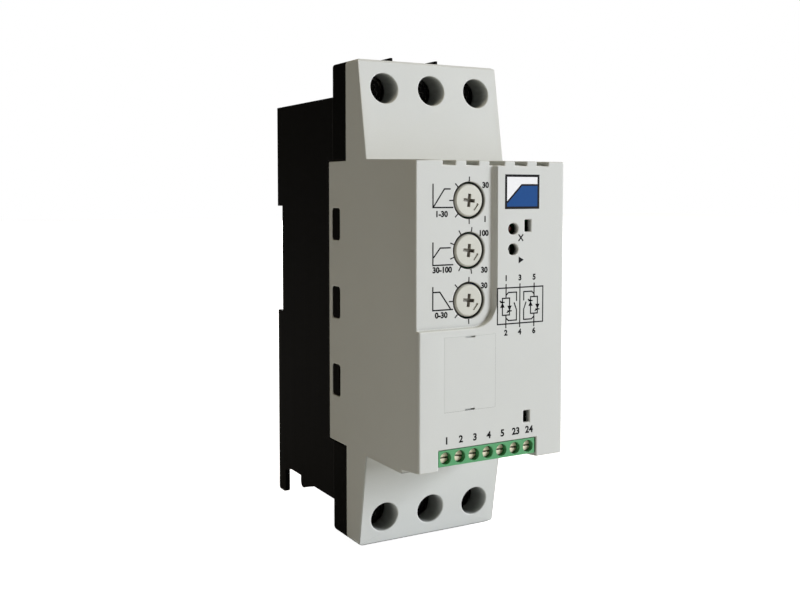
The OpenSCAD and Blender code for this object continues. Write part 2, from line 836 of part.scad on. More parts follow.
module sink_plan() {
    translate([-half_w, base_d]) square([body_w, plate_back_d - base_d]);
    for (side = [-1, 1], x = fin_xs)
        translate([side * x - fin_t / 2, plate_back_d - eps]) square([fin_t, sink_end_d - plate_back_d + eps]);
    translate([-inner_fin_x, bridge_back_d - bridge_t]) square([2 * inner_fin_x, bridge_t]);
}

// Black anodised extrusion with upright fins, notched for the rail, cut to feet below and cut back
// at the front for the cover's skirts
module heat_sink() color("black") in_frame() difference() {
    intersection() {
        across(body_w) sink_side();
        translate([0, 0, -far / 2]) linear_extrude(height = far) sink_plan();
    }
    span([-outer_fin_x + fin_t / 2, outer_fin_x - fin_t / 2], [base_d - past, sink_end_d + past],
        [-far, -sink_bottom]);
    for (side = [0, 1]) mirror([side, 0, 0])
        span([pad_half, half_w + past], [base_d - past, pad_d], [bottom_z - neck_gap, top_z + neck_gap]);
    for (x = [-pillar_x, pillar_x], z = base_screw_zs())
        rod(m4_r + thread_gap, [base_d - past, base_d + sink_bore_l], x, z);
    for (x = [-module_x, module_x], z = [-module_screw_z, module_screw_z])
        rod(module_screw_r + thread_gap, [base_d - past, base_d + sink_bore_l], x, module_z + z);
    for (z = bracket_screw_zs())
        rod(m3_r + thread_gap, [bridge_back_d - bridge_t - past, bridge_back_d + past], 0, z);
}

function bracket_screw_zs() = [bracket_screw_z, -bracket_screw_z];

// Rail bracket: floor plate with the fixed hook above the rail and the latch guides below it
module din_bracket() color("darkslategray") in_frame() {
    difference() {
        union() {
            span([-clip_half, clip_half], [bridge_back_d, clip_floor_d], [bracket_bottom_z, hook_top_z]);
            across(2 * clip_half) polygon([
                [clip_floor_d - eps, hook_top_z], [clip_floor_d - eps, hook_z], [nose_d, hook_z],
                [nose_d, rail_half - rail_grip], [nose_back_d, rail_half - rail_grip / 2],
                [nose_back_d, hook_z + rail_grip], [clip_floor_d + floor_t, hook_top_z]
            ]);
            for (side = [0, 1]) mirror([side, 0, 0]) {
                span([latch_half + latch_gap, clip_half], [clip_floor_d - eps, guide_back_d],
                    [bracket_bottom_z, guide_top_z]);
                span([latch_half - guide_lip, clip_half], [latch_back_d + latch_gap, guide_back_d],
                    [bracket_bottom_z, guide_top_z]);
            }
            span([-stop_half, stop_half], [clip_floor_d - eps, latch_back_d],
                [stop_top_z - stop_h, stop_top_z]);
        }
        for (z = bracket_screw_zs()) rod(m3_r + thread_gap, [bridge_back_d - past, clip_floor_d + past], 0, z);
    }
}

// Sliding latch: hooked head behind the rail's lower edge, spring slot and pull lug
module din_latch() color("darkslategray") in_frame() difference() {
    union() {
        span([-latch_half, latch_half], [latch_front_d, latch_back_d], [latch_bottom_z, head_top_z]);
        across(latch_w) polygon([
            [latch_back_d - eps, head_bottom_z], [latch_back_d - eps, head_top_z], [nose_d, head_top_z],
            [nose_d, -rail_half + rail_grip], [nose_back_d, head_top_z], [nose_back_d, head_top_z - head_h / 3]
        ]);
    }
    span([-latch_slot_half, latch_slot_half], [latch_front_d - past, latch_back_d + past],
        [stop_top_z - stop_h - latch_gap, stop_top_z + spring_l]);
    translate([0, 0, latch_bottom_z + lug_hole_inset])
        span([-latch_half / 2, latch_half / 2], [latch_front_d - past, latch_back_d + past], [0, lug_hole_h]);
}

// Compression spring between the bracket's stop and the end of the latch's slot
module latch_spring() color("silver") in_frame() {
    turns = 8;
    steps = 14;
    sides = 6;
    rings = turns * steps;
    coil_r = (spring_d - spring_wire) / 2;
    wire = spring_wire / 2;
    lift = spring_l - spring_wire - 2 * eps;
    points = [for (i = [0 : rings], j = [0 : sides - 1])
        let (a = 360 * i / steps, b = 360 * j / sides, r = coil_r + wire * cos(b))
        [r * cos(a), r * sin(a), lift * i / rings + wire * sin(b)]];
    skin = [for (i = [0 : rings - 1], j = [0 : sides - 1])
        let (k = (j + 1) % sides)
        [i * sides + j, (i + 1) * sides + j, (i + 1) * sides + k, i * sides + k]];
    first = [for (j = [0 : sides - 1]) j];
    last = [for (j = [sides - 1 : -1 : 0]) rings * sides + j];
    translate([0, (latch_front_d + latch_back_d) / 2, stop_top_z + wire + eps])
        polyhedron(points = points, faces = concat([first], skin, [last]));
}

// A pan-head screw along the depth, with its head towards the front or towards the back
module pan_screw(r, l, head_r, head_t, x, z, seat_d, to_back = true) {
    way = to_back ? 1 : -1;
    recess_w = head_r / 3;
    recess_half = head_r * 0.6;
    translate([x, seat_d, z]) mirror([0, way > 0 ? 0 : 1, 0]) difference() {
        union() {
            rod(r, [-eps, l]);
            rod(head_r, [-head_t, 0]);
        }
        for (turn = [0, 90]) rotate([0, turn, 0])
            span([-recess_half, recess_half], [-head_t - past, -head_t / 2], [-recess_w / 2, recess_w / 2]);
    }
}

module bracket_screws() color("silver") in_frame()
    for (z = bracket_screw_zs())
        pan_screw(m3_r, floor_t + bridge_t, m3_head_r, m3_head_t, 0, z, clip_floor_d, false);

module base_screws() color("silver") in_frame()
    for (x = [-pillar_x, pillar_x], z = base_screw_zs())
        pan_screw(m4_r, base_screw_l, m4_head_r, m4_head_t, x, z, base_d - tub_floor_t);

// Thyristor module: raised middle over a flange with a screw hole at each end
module thyristor(side) color("black") in_frame() translate([side * module_x, 0, module_z]) difference() {
    union() {
        span([-module_w / 2, module_w / 2], [flange_front_d, base_d], [-module_l / 2, module_l / 2]);
        span([-module_w / 2, module_w / 2], [module_d, base_d], [-module_mid_l / 2, module_mid_l / 2]);
    }
    for (z = [-module_screw_z, module_screw_z])
        rod(module_screw_r + thread_gap, [flange_front_d - past, base_d + past], 0, z);
}

module thyristor_left() thyristor(-1);
module thyristor_right() thyristor(1);

module thyristor_screws() color("silver") in_frame()
    for (x = [-module_x, module_x], z = [-module_screw_z, module_screw_z])
        pan_screw(module_screw_r, module_screw_l, m4_head_r, m4_head_t, x, module_z + z, flange_front_d);

// Temperature sensor on the heat sink, under the middle busbar
module thermistor() color("darkblue") in_frame() translate([0, 0, module_z + module_mid_l / 2])
    span([-sensor_w / 2, sensor_w / 2], [bar_back_d + bar_gap, base_d], [-sensor_h / 2, sensor_h / 2]);

// Busbar from a clamp to the front of its thyristor module
module outer_bar(x, h, drop) {
    bend = -drop + bar_t;
    end = bend - bar_t - module_l / 2 + module_mid_l / 2 - bar_over_module;
    across_w = [x - bar_w / 2, x + bar_w / 2];
    span(across_w, [bar_front_d, bar_back_d], [bend - bar_t, h - bar_inset]);
    span(across_w, [module_d - bar_t, bar_back_d], [bend - bar_t, bend]);
    span(across_w, [module_d - bar_t, module_d], [end, bend]);
}

module line_busbars() color("peru") in_frame() at_line()
    for (x = [poles[0], poles[2]]) outer_bar(x, line_h, top_z - module_z - module_l / 2 - bar_over_flange);

module load_busbars() color("peru") in_frame() at_load()
    for (x = [poles[0], poles[2]]) outer_bar(x, load_h, module_z - module_l / 2 - bottom_z - bar_over_flange);

// The middle phase runs straight from line to load
module through_busbar() color("peru") in_frame() span([-bar_w / 2, bar_w / 2], [bar_front_d, bar_back_d],
    [bottom_z - load_h + bar_inset, top_z + line_h - bar_inset]);

// Box clamps: a folded cage round the busbar's end with a threaded front wall
module clamps(h) for (x = poles) translate([x, 0, h - clamp_top_inset - clamp_l]) difference() {
    span([-clamp_w / 2, clamp_w / 2], [clamp_front_d, clamp_back_d], [0, clamp_l]);
    span([-clamp_w / 2 + clamp_wall, clamp_w / 2 - clamp_wall],
        [clamp_front_d + clamp_wall, clamp_back_d - clamp_wall], [-past, clamp_l + past]);
    rod(clamp_thread_r, [clamp_front_d - past, clamp_front_d + clamp_wall + past], 0,
        clamp_l + clamp_top_inset - access_inset);
}

module clamp_screws(h) for (x = poles)
    pan_screw(clamp_thread_r - screw_gap, screw_l, screw_head_r, screw_head_t, x, h - access_inset,
        screw_seat_d);

module line_clamps() color("silver") in_frame() at_line() clamps(line_h);
module load_clamps() color("silver") in_frame() at_load() clamps(load_h);
module line_screws() color("silver") in_frame() at_line() clamp_screws(line_h);
module load_screws() color("silver") in_frame() at_load() clamp_screws(load_h);

// Power board on the base's pillars
module power_board() color("darkgreen") in_frame() difference() {
    span([-board_half, board_half], [power_board_d, power_back_d], [power_board_bottom_z, power_board_top_z]);
    for (x = [-pillar_x, pillar_x], z = [pillar_top_z, pillar_low_z])
        rod(m3_r + thread_gap, [power_board_d - past, power_back_d + past], x, z);
}

module power_board_screws() color("silver") in_frame()
    for (x = [-pillar_x, pillar_x], z = [pillar_top_z, pillar_low_z])
        pan_screw(m3_r, power_screw_l, m3_head_r, m3_head_t, x, z, power_board_d);

// A boxed part that stands on the front of the power board
module board_part(x, z, size) translate([x - size[0] / 2, power_board_d - size[1], z - size[2] / 2]) cube(size);

module bypass_relay_left() color("orange") in_frame() board_part(-relay_x, relay_z, relay_size);
module bypass_relay_right() color("orange") in_frame() board_part(relay_x, relay_z, relay_size);
module signal_relay() color("white") in_frame() board_part(0, relay_z, signal_relay_size);
module transformer() color("goldenrod") in_frame() board_part(transformer_x, transformer_z, transformer_size);

module capacitors() color("midnightblue") in_frame()
    for (x = capacitor_xs) rod(capacitor_r, [power_board_d - capacitor_l, power_board_d], x, capacitor_z);

// Disc varistors, each on two leads
module varistors() color("royalblue") in_frame() for (x = varistor_xs)
    translate([x, power_board_d - varistor_stand, varistor_z]) {
        translate([-varistor_t / 2, 0, 0]) rotate([0, 90, 0]) cylinder(r = varistor_r, h = varistor_t);
        for (z = [-varistor_lead_pitch / 2, varistor_lead_pitch / 2])
            rod(lead_w / 2, [0, varistor_stand], 0, z);
    }

// Pin header that joins the two boards
module board_header() color("black") in_frame() translate([-board_half + header_w, 0, header_z]) {
    body_l = power_board_d - header_d;
    span([-header_w / 2, header_w / 2], [body_l, power_board_d], [0, header_pins * header_pitch]);
    for (i = [0 : header_pins - 1]) translate([0, 0, (i + 0.5) * header_pitch])
        span([-pin_w / 2, pin_w / 2], [control_back_d, body_l + eps], [-pin_w / 2, pin_w / 2]);
}

// Control board on the cover's posts
module control_board() color("darkgreen") in_frame() difference() {
    span([-board_half, board_half], [control_board_d, control_back_d],
        [control_board_bottom_z, control_board_top_z]);
    for (x = post_xs, z = [post_top_z, post_low_z])
        rod(m2_r + thread_gap, [control_board_d - past, control_back_d + past], x, z);
}

module control_board_screws() color("silver") in_frame() for (x = post_xs, z = [post_top_z, post_low_z])
    pan_screw(m2_r, m2_l, m2_head_r, m2_head_t, x, z, control_back_d, false);

module processor() color("black") in_frame() translate([0, control_back_d, processor_z])
    span([-processor_w / 2, processor_w / 2], [0, processor_t], [-processor_w / 2, processor_w / 2]);

// Square potentiometer bodies with a bore for the dial's spindle
module potentiometers() color("steelblue") in_frame() for (z = dial_zs) translate([dial_x, 0, z]) difference() {
    span([-pot_w / 2, pot_w / 2], [pot_front_d, control_board_d], [-pot_w / 2, pot_w / 2]);
    rod(spindle_d / 2 + spindle_gap, [pot_front_d - past, control_board_d - spindle_end / 2], 0, 0);
}

// Trimmer dial with a cross recess and a short groove across its pointing side, set to the low end of its scale
module dial(z) color("ivory") in_frame() translate([dial_x, dial_front_d, z]) {
    r = dial_d / 2;
    pointer_r = 3.1;
    pointer_l = 2.4;
    pointer_w = 0.6;
    pointer_d = 0.4;
    difference() {
        rotate([-90, 0, 0]) rotate_extrude() polygon([
            [0, 0], [r - dial_edge, 0], [r, dial_edge], [r, dial_t], [spindle_d / 2, dial_t],
            [spindle_d / 2, control_board_d - dial_front_d - spindle_end],
            [0, control_board_d - dial_front_d - spindle_end]
        ]);
        for (turn = [0, 90]) rotate([0, turn + cross_turn, 0])
            span([-cross_l / 2, cross_l / 2], [-past, cross_d], [-cross_w / 2, cross_w / 2]);
        rotate([0, pointer_turn, 0]) translate([0, 0, pointer_r])
            span([-pointer_l / 2, pointer_l / 2], [-past, pointer_d], [-pointer_w / 2, pointer_w / 2]);
    }
}

module dial_start_time() dial(dial_zs[0]);
module dial_start_voltage() dial(dial_zs[1]);
module dial_stop_time() dial(dial_zs[2]);

// Round-nosed lamp on two leads
module lamp(z) in_frame() translate([lamp_x, 0, z]) {
    r = lamp_d / 2;
    body_end_d = lamp_front_d + lamp_body_l;
    intersection() {
        union() {
            rod(r, [lamp_front_d + r, body_end_d], 0, 0);
            translate([0, lamp_front_d + r, 0]) sphere(r);
        }
        rod(r, [lamp_front_d, body_end_d], 0, 0);
    }
    rod(r + lamp_rim, [body_end_d - eps, body_end_d + lamp_rim_t], 0, 0);
    for (side = [-1, 1]) translate([side * lead_pitch, 0, 0])
        span([-lead_w / 2, lead_w / 2], [body_end_d + lamp_rim_t - eps, control_board_d],
            [-lead_w / 2, lead_w / 2]);
}

module lamp_error() color("darkred") lamp(lamp_zs[0]);
module lamp_run() color("darkolivegreen") lamp(lamp_zs[1]);

// Green control terminal block: a stepped moulding with a screw hole and a wire cell for each pole
module control_block() color("mediumseagreen") in_frame() difference() {
    translate([control_x, 0, 0]) across(2 * control_half) polygon([
        [control_d, control_bottom_z], [control_d, control_top_z], [front_wall + control_gap, control_top_z],
        [front_wall + control_gap, control_top_z + control_back_h],
        [control_board_d, control_top_z + control_back_h],
        [control_board_d, control_bottom_z]
    ]);
    for (x = control_xs) translate([x, 0, 0]) {
        rod(control_hole_r, [control_d - past, control_cell_front_d + eps], 0, control_screw_z);
        span([-control_cell_half, control_cell_half], [control_cell_front_d, control_cell_back_d],
            [control_bottom_z - past, control_bottom_z + control_cell_h]);
    }
}

// Wire cages in the control terminal block
module control_clamps() color("silver") in_frame()
    for (x = control_xs) translate([x, 0, control_bottom_z]) difference() {
        half = control_cell_half - control_clamp_gap;
        front = control_cell_front_d + control_clamp_gap;
        back = control_cell_back_d - control_clamp_gap;
        span([-half, half], [front, back], [control_clamp_gap, control_cell_h - control_clamp_gap]);
        span([-half + control_clamp_wall, half - control_clamp_wall],
            [front + 2 * control_clamp_wall, back - control_clamp_wall], [-past, control_cell_h + past]);
        rod(control_shank_r + screw_gap, [front - past, (front + back) / 2], 0, control_h / 2);
    }

module control_screws() color("silver") in_frame()
    for (x = control_xs) translate([x, 0, control_screw_z]) difference() {
        union() {
            rod(control_hole_r - control_clamp_gap, [control_head_d, control_head_d + control_head_t]);
            rod(control_shank_r, [control_head_d, control_cell_front_d + control_shank_l]);
        }
        span([-far, far], [control_head_d - past, control_head_d + control_head_t / 2],
            [-control_slot_w / 2, control_slot_w / 2]);
    }

heat_sink();
base_housing();
front_cover();
option_cover();
din_bracket();
din_latch();
latch_spring();
bracket_screws();
base_screws();
thyristor_left();
thyristor_right();
thyristor_screws();
thermistor();
line_busbars();
load_busbars();
through_busbar();
line_clamps();
line_screws();
load_clamps();
load_screws();
power_board();
bypass_relay_left();
bypass_relay_right();
signal_relay();
capacitors();
varistors();
transformer();
power_board_screws();
board_header();
control_board();
control_board_screws();
processor();
potentiometers();
dial_start_time();
dial_start_voltage();
dial_stop_time();
lamp_error();
lamp_run();
control_block();
control_screws();
control_clamps();
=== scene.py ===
import json
import math

import bmesh
import bpy
from mathutils import Matrix, Vector
from mathutils.bvhtree import BVHTree
from mathutils.kdtree import KDTree

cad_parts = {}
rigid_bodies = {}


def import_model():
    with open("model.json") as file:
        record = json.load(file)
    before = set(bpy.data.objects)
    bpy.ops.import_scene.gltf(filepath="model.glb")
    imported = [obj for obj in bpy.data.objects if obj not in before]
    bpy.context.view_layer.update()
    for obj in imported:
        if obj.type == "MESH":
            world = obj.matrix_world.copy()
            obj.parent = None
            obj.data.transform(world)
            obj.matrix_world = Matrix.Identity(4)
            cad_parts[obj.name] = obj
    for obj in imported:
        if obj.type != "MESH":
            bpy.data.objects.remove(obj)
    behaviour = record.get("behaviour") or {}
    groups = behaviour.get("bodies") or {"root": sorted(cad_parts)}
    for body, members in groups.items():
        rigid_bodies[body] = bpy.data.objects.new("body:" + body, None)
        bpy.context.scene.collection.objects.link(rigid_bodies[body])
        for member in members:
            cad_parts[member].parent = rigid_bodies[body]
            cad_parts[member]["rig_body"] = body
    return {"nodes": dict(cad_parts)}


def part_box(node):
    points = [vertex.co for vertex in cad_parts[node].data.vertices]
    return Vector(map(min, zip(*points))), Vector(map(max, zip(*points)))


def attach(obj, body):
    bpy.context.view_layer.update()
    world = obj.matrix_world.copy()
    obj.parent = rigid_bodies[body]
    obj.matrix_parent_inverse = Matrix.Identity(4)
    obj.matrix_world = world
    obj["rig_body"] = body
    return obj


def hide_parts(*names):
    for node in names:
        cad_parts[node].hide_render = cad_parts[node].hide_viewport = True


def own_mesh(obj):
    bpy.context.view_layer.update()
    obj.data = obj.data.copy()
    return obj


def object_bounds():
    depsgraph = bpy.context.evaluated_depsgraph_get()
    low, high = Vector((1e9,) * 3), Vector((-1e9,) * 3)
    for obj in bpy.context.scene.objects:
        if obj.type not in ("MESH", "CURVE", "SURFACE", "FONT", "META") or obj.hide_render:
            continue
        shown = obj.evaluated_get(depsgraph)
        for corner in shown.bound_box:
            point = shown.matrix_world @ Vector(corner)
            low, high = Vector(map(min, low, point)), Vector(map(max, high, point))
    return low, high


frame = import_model()
cad_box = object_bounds()

# Heat sink
# One black anodised aluminium extrusion with upright fins, sawn to length, milled for the rail
# and for its feet, and screwed to the back of the base. Handling rubs the black off its edges.
MM = 0.001
SINK_EDGE = 0.2 * MM
SINK_BLACK = (0.009, 0.009, 0.0095)
SINK_RUBBED = (0.06, 0.06, 0.062)
SINK_LINES = (900, 900, 9)
DULL = 0.012
WELD = 0.002 * MM
FLAT = math.radians(0.5)
CORNER = math.radians(25)
CREASE = math.radians(50)
ROOM = 0.75
TURNED_OVER = -0.2
ROUNDING_STEPS = 2


def new_object(name, data):
    """A new object in the scene."""
    piece = bpy.data.objects.new(name, data)
    bpy.context.scene.collection.objects.link(piece)
    return piece


def cut_off(shape, point, outward):
    """Cuts a mesh at a plane, drops what lies outward of it and closes the cut."""
    everything = shape.verts[:] + shape.edges[:] + shape.faces[:]
    cut = bmesh.ops.bisect_plane(shape, geom=everything, dist=WELD, plane_co=point,
                                 plane_no=outward, clear_outer=True)
    rims = [item for item in cut["geom_cut"] if isinstance(item, bmesh.types.BMEdge)]
    for face in bmesh.ops.contextual_create(shape, geom=rims)["faces"]:
        face.normal_update()
        if face.normal.dot(outward) < 0:
            face.normal_flip()


def softened(node, edge, keep=None, crisp=None, trim=()):
    """Welds a copy of a CAD node, makes its flat faces whole and rounds its edges where there is
    room. The rounded faces carry the attribute rounded. With keep, only the points that it accepts
    stay. With crisp, the edges whose points it accepts stay sharp. The planes in trim, each a point
    and a direction, cut the copy first. Where a rounding strays too far from the CAD surface,
    leaves the node's box or turns a face over, the corners that it starts from stay sharp."""
    plain = bmesh.new()
    plain.from_mesh(frame["nodes"][node].data)
    bmesh.ops.remove_doubles(plain, verts=plain.verts, dist=WELD)
    if keep:
        outer = [vert for vert in plain.verts if not keep(vert.co)]
        bmesh.ops.delete(plain, geom=outer, context="VERTS")
    for point, outward in trim:
        cut_off(plain, point, outward)
    bmesh.ops.dissolve_limit(plain, angle_limit=FLAT, verts=plain.verts, edges=plain.edges)
    home = plain.verts.layers.float_vector.new("home")
    plain.verts.index_update()
    corners = KDTree(len(plain.verts))
    for vert in plain.verts:
        vert[home] = vert.co
        corners.insert(vert.co, vert.index)
    corners.balance()
    surface = BVHTree.FromBMesh(plain)
    low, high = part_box(node)
    crowded = {vert.index for vert in plain.verts if crisp and crisp(vert.co)}
    while True:
        shape = plain.copy()
        home = shape.verts.layers.float_vector["home"]
        rounded = shape.loops.layers.float.new("rounded")
        shape.verts.index_update()
        rims = [rim for rim in shape.edges if rim.is_manifold and rim.calc_face_angle() > CORNER
                and not crowded & {vert.index for vert in rim.verts}]
        made = bmesh.ops.bevel(shape, geom=rims, offset=edge, offset_type="OFFSET",
                               segments=ROUNDING_STEPS, profile=0.5, affect="EDGES",
                               clamp_overlap=False)
        torn = [vert for vert in shape.verts if surface.find_nearest(vert.co)[3] > ROOM * edge
                or any(not a - WELD < c < b + WELD for c, a, b in zip(vert.co, low, high))]
        for face in shape.faces:
            outward = surface.find_nearest(face.calc_center_median())[1]
            if face.calc_area() > WELD * WELD and outward.dot(face.normal) < TURNED_OVER:
                torn.extend(face.verts)
        found = {corners.find(vert[home])[1] for vert in torn}
        if found <= crowded:
            break
        crowded |= found
        shape.free()
    for vert in shape.verts:
        vert.co = [min(max(c, a), b) for c, a, b in zip(vert.co, low, high)]
    for face in made["faces"]:
        for loop in face.loops:
            loop[rounded] = 1.0
    for face in shape.faces:
        face.smooth = True
    shape.verts.layers.float_vector.remove(home)
    body = bpy.data.meshes.new(f"{node}_finished")
    shape.to_mesh(body)
    shape.free()
    plain.free()
    body.set_sharp_from_angle(angle=CREASE)
    piece = new_object(f"{node}_finished", body)
    piece.modifiers.new("flat_faces", "WEIGHTED_NORMAL").keep_sharp = True
    return piece


def dress(piece, node, finish):
    """Gives a piece its finish and lets it stand for a CAD node on that node's body."""
    piece.data.materials.clear()
    piece.data.materials.append(finish)
    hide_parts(node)
    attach(piece, frame["nodes"][node]["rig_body"])


def add(tree, kind, values=(), **settings):
    """Adds a node to a tree with its settings. The values, or links, of its inputs are given by
    the input's name or place."""
    node = tree.nodes.new(kind)
    for name, value in settings.items():
        setattr(node, name, value)
    for key, value in dict(values).items():
        if isinstance(key, int):
            socket = node.inputs[key]
        else:
            socket = next(s for s in node.inputs if s.name == key and s.enabled)
        if isinstance(value, bpy.types.NodeSocket):
            tree.links.new(value, socket)
        else:
            socket.default_value = value
    return node


def calc(tree, operation, *terms, **settings):
    """Adds a step of arithmetic to a tree and gives its result."""
    node = add(tree, "ShaderNodeMath", dict(enumerate(terms)), operation=operation, **settings)
    return node.outputs["Value"]


def noise(tree, place, scale, detail):
    """Adds an uneven pattern to a tree and gives its value."""
    node = add(tree, "ShaderNodeTexNoise", {"Vector": place, "Scale": scale, "Detail": detail})
    return node.outputs["Fac"]


def mixed(tree, share, first, second):
    """Adds a mix of two colours to a tree and gives the result."""
    share_at, first_at, second_at, result_at = 0, 6, 7, 2
    node = add(tree, "ShaderNodeMix", {share_at: share, first_at: first, second_at: second},
               data_type="RGBA")
    return node.outputs[result_at]


def own_place(tree):
    """The place on the piece, in the part's frame."""
    return add(tree, "ShaderNodeTexCoord").outputs["Object"]


def effect(name, inputs, outputs):
    """A new shader node group with its sockets, its input node and its output node."""
    tree = bpy.data.node_groups.new(name, "ShaderNodeTree")
    for way, sockets in (("INPUT", inputs), ("OUTPUT", outputs)):
        for socket, kind in sockets.items():
            tree.interface.new_socket(socket, in_out=way, socket_type=f"NodeSocket{kind}")
    return tree, tree.nodes.new("NodeGroupInput"), tree.nodes.new("NodeGroupOutput")


def give(tree, end, **values):
    """Links values to the output node of a group."""
    for name, value in values.items():
        tree.links.new(value, end.inputs[name])


# Metal grain: lines or specks of the rolled, drawn or plated surface
metal_grain, taken, given = effect(
    "metal_grain", {"Colour": "Color", "Scale": "Vector", "Tone": "Float", "Roughness": "Float"},
    {"Colour": "Color", "Roughness": "Float", "Height": "Float"})
drawn = add(metal_grain, "ShaderNodeMapping", {"Vector": own_place(metal_grain),
                                               "Scale": taken.outputs["Scale"]})
lines = noise(metal_grain, drawn.outputs["Vector"], scale=1.0, detail=4.0)
uneven = calc(metal_grain, "SUBTRACT", lines, 0.5)
swing = calc(metal_grain, "MULTIPLY", uneven, taken.outputs["Tone"])
level = calc(metal_grain, "ADD", swing, 1.0)
toned = add(metal_grain, "ShaderNodeHueSaturation", {"Color": taken.outputs["Colour"],
                                                     "Value": level})
rough = calc(metal_grain, "MULTIPLY", taken.outputs["Roughness"], level)
give(metal_grain, given, Colour=toned.outputs["Color"], Roughness=rough, Height=lines)

# Rubbed edges: the rounded edges of a piece show a second colour in patches
rubbed_edges, taken, given = effect(
    "rubbed_edges", {"Colour": "Color", "Rubbed": "Color", "Amount": "Float"}, {"Colour": "Color"})
patches = noise(rubbed_edges, own_place(rubbed_edges), scale=140.0, detail=5.0)
edges = add(rubbed_edges, "ShaderNodeAttribute", attribute_name="rounded")
worn = calc(rubbed_edges, "MULTIPLY", patches, edges.outputs["Fac"])
share = calc(rubbed_edges, "MULTIPLY", worn, taken.outputs["Amount"], use_clamp=True)
give(rubbed_edges, given, Colour=mixed(rubbed_edges, share, taken.outputs["Colour"],
                                       taken.outputs["Rubbed"]))

# Painted shade in recesses: holes and grooves are painted a darker colour, the more they are
# hidden within its reach and past the hidden share that stays unshaded
FULL_PAINTED_SHADE = 0.85
painted_recess_shade, taken, given = effect(
    "painted_recess_shade", {"Colour": "Color", "PaintedShade": "Color", "Reach": "Float", "Unshaded": "Float"},
    {"Colour": "Color"})
open_share = add(painted_recess_shade, "ShaderNodeAmbientOcclusion", {"Distance": taken.outputs["Reach"]},
                 samples=16)
hidden = calc(painted_recess_shade, "SUBTRACT", 1.0, open_share.outputs["AO"])
shade_share = add(painted_recess_shade, "ShaderNodeMapRange", {
    "Value": hidden, "From Min": taken.outputs["Unshaded"], "From Max": FULL_PAINTED_SHADE},
    interpolation_type="SMOOTHSTEP")
give(painted_recess_shade, given, Colour=mixed(painted_recess_shade, shade_share.outputs["Result"],
                                       taken.outputs["Colour"], taken.outputs["PaintedShade"]))


def new_finish(name, **values):
    """A new material with its shader, and the shader's own values."""
    finish = bpy.data.materials.new(name)
    finish.use_nodes = True
    shader = finish.node_tree.nodes["Principled BSDF"]
    for socket, value in values.items():
        shader.inputs[socket.replace("_", " ")].default_value = value
    return finish, finish.node_tree, shader


def opaque(colour):
    return (*colour, 1.0)


def coat(tree, shader, colour, roughness, height, relief):
    """Gives a shader its colour and roughness, and a height as its relief."""
    bump = add(tree, "ShaderNodeBump", {"Height": height, "Distance": relief})
    tree.links.new(colour, shader.inputs["Base Color"])
    tree.links.new(roughness, shader.inputs["Roughness"])
    tree.links.new(bump.outputs["Normal"], shader.inputs["Normal"])


def used_finish(name, skin_group, skin_values, relief, rubbed, rubbing, recess_shading, **values):
    """A material with a skin, rubbed edges and painted shade in its recesses. Each row of
    recess_shading is the painted shade's colour, its reach and the hidden share that stays unshaded."""
    finish, tree, shader = new_finish(name, **values)
    skin = add(tree, "ShaderNodeGroup", skin_values, node_tree=skin_group)
    worn = add(tree, "ShaderNodeGroup", {"Colour": skin.outputs["Colour"],
                                         "Rubbed": opaque(rubbed), "Amount": rubbing},
               node_tree=rubbed_edges)
    # Each row paints shade over the colour where the surface is hidden in a recess.
    for shade_colour, reach, clear in recess_shading:
        worn = add(tree, "ShaderNodeGroup", {"Colour": worn.outputs["Colour"],
                                             "PaintedShade": opaque(shade_colour), "Reach": reach, "Unshaded": clear},
                   node_tree=painted_recess_shade)
    coat(tree, shader, worn.outputs["Colour"], skin.outputs["Roughness"], skin.outputs["Height"],
         relief)
    return finish


def metal_finish(name, colour, roughness, scale, tone, relief, rubbed=None, rubbing=0.0,
                 recess_shading=(), metallic=1.0, **values):
    """A metal with grain, rubbed edges and painted shade in its recesses."""
    skin = {"Colour": opaque(colour), "Scale": scale, "Tone": tone, "Roughness": roughness}
    return used_finish(name, metal_grain, skin, relief, rubbed or colour, rubbing, recess_shading,
                       Metallic=metallic, **values)


sink_finish = metal_finish("black_anodised", SINK_BLACK, roughness=0.5, scale=SINK_LINES, tone=0.5,
                           relief=0.02 * MM, rubbed=SINK_RUBBED, rubbing=0.8, metallic=0.0,
                           Specular_IOR_Level=DULL)
dress(softened("heat_sink", SINK_EDGE), "heat_sink", sink_finish)

# Rail bracket and latch
# Two black nylon mouldings in the heat sink's middle channel: a bracket with the fixed hook,
# held by two zinc-plated screws, and a latch that slides in its guides and is pulled by its lug.
CLIP_EDGE = 0.25 * MM
CLIP_SCREW_EDGE = 0.12 * MM
CLIP_BLACK = (0.016, 0.016, 0.017)
CLIP_RUBBED = (0.05, 0.05, 0.05)
ZINC = (0.55, 0.55, 0.53)
ZINC_SPECKS = (1800, 1800, 1800)

# Moulded skin: fine spark-eroded grain, with a slow change of tone from the flow of the plastic
moulded_skin, taken, given = effect(
    "moulded_skin", {"Colour": "Color", "Grain": "Float", "Mottle": "Float", "Roughness": "Float"},
    {"Colour": "Color", "Roughness": "Float", "Height": "Float"})
place = own_place(moulded_skin)
grain = noise(moulded_skin, place, taken.outputs["Grain"], detail=3.0)
flow = noise(moulded_skin, place, scale=45.0, detail=4.0)
uneven = calc(moulded_skin, "SUBTRACT", calc(moulded_skin, "ADD", grain, flow), 1.0)
level = calc(moulded_skin, "MULTIPLY_ADD", uneven, taken.outputs["Mottle"], 1.0)
toned = add(moulded_skin, "ShaderNodeHueSaturation", {"Color": taken.outputs["Colour"],
                                                      "Value": level})
rough = calc(moulded_skin, "MULTIPLY", taken.outputs["Roughness"], level)
give(moulded_skin, given, Colour=toned.outputs["Color"], Roughness=rough, Height=grain)


def moulded_finish(name, colour, roughness, grain=2600.0, mottle=0.12, relief=0.012 * MM,
                   rubbed=None, rubbing=0.0, recess_shading=(), **values):
    """A moulded plastic with grain, slow tone, rubbed edges and painted shade in its recesses."""
    skin = {"Colour": opaque(colour), "Grain": grain, "Mottle": mottle, "Roughness": roughness}
    return used_finish(name, moulded_skin, skin, relief, rubbed or colour, rubbing, recess_shading,
                       **values)


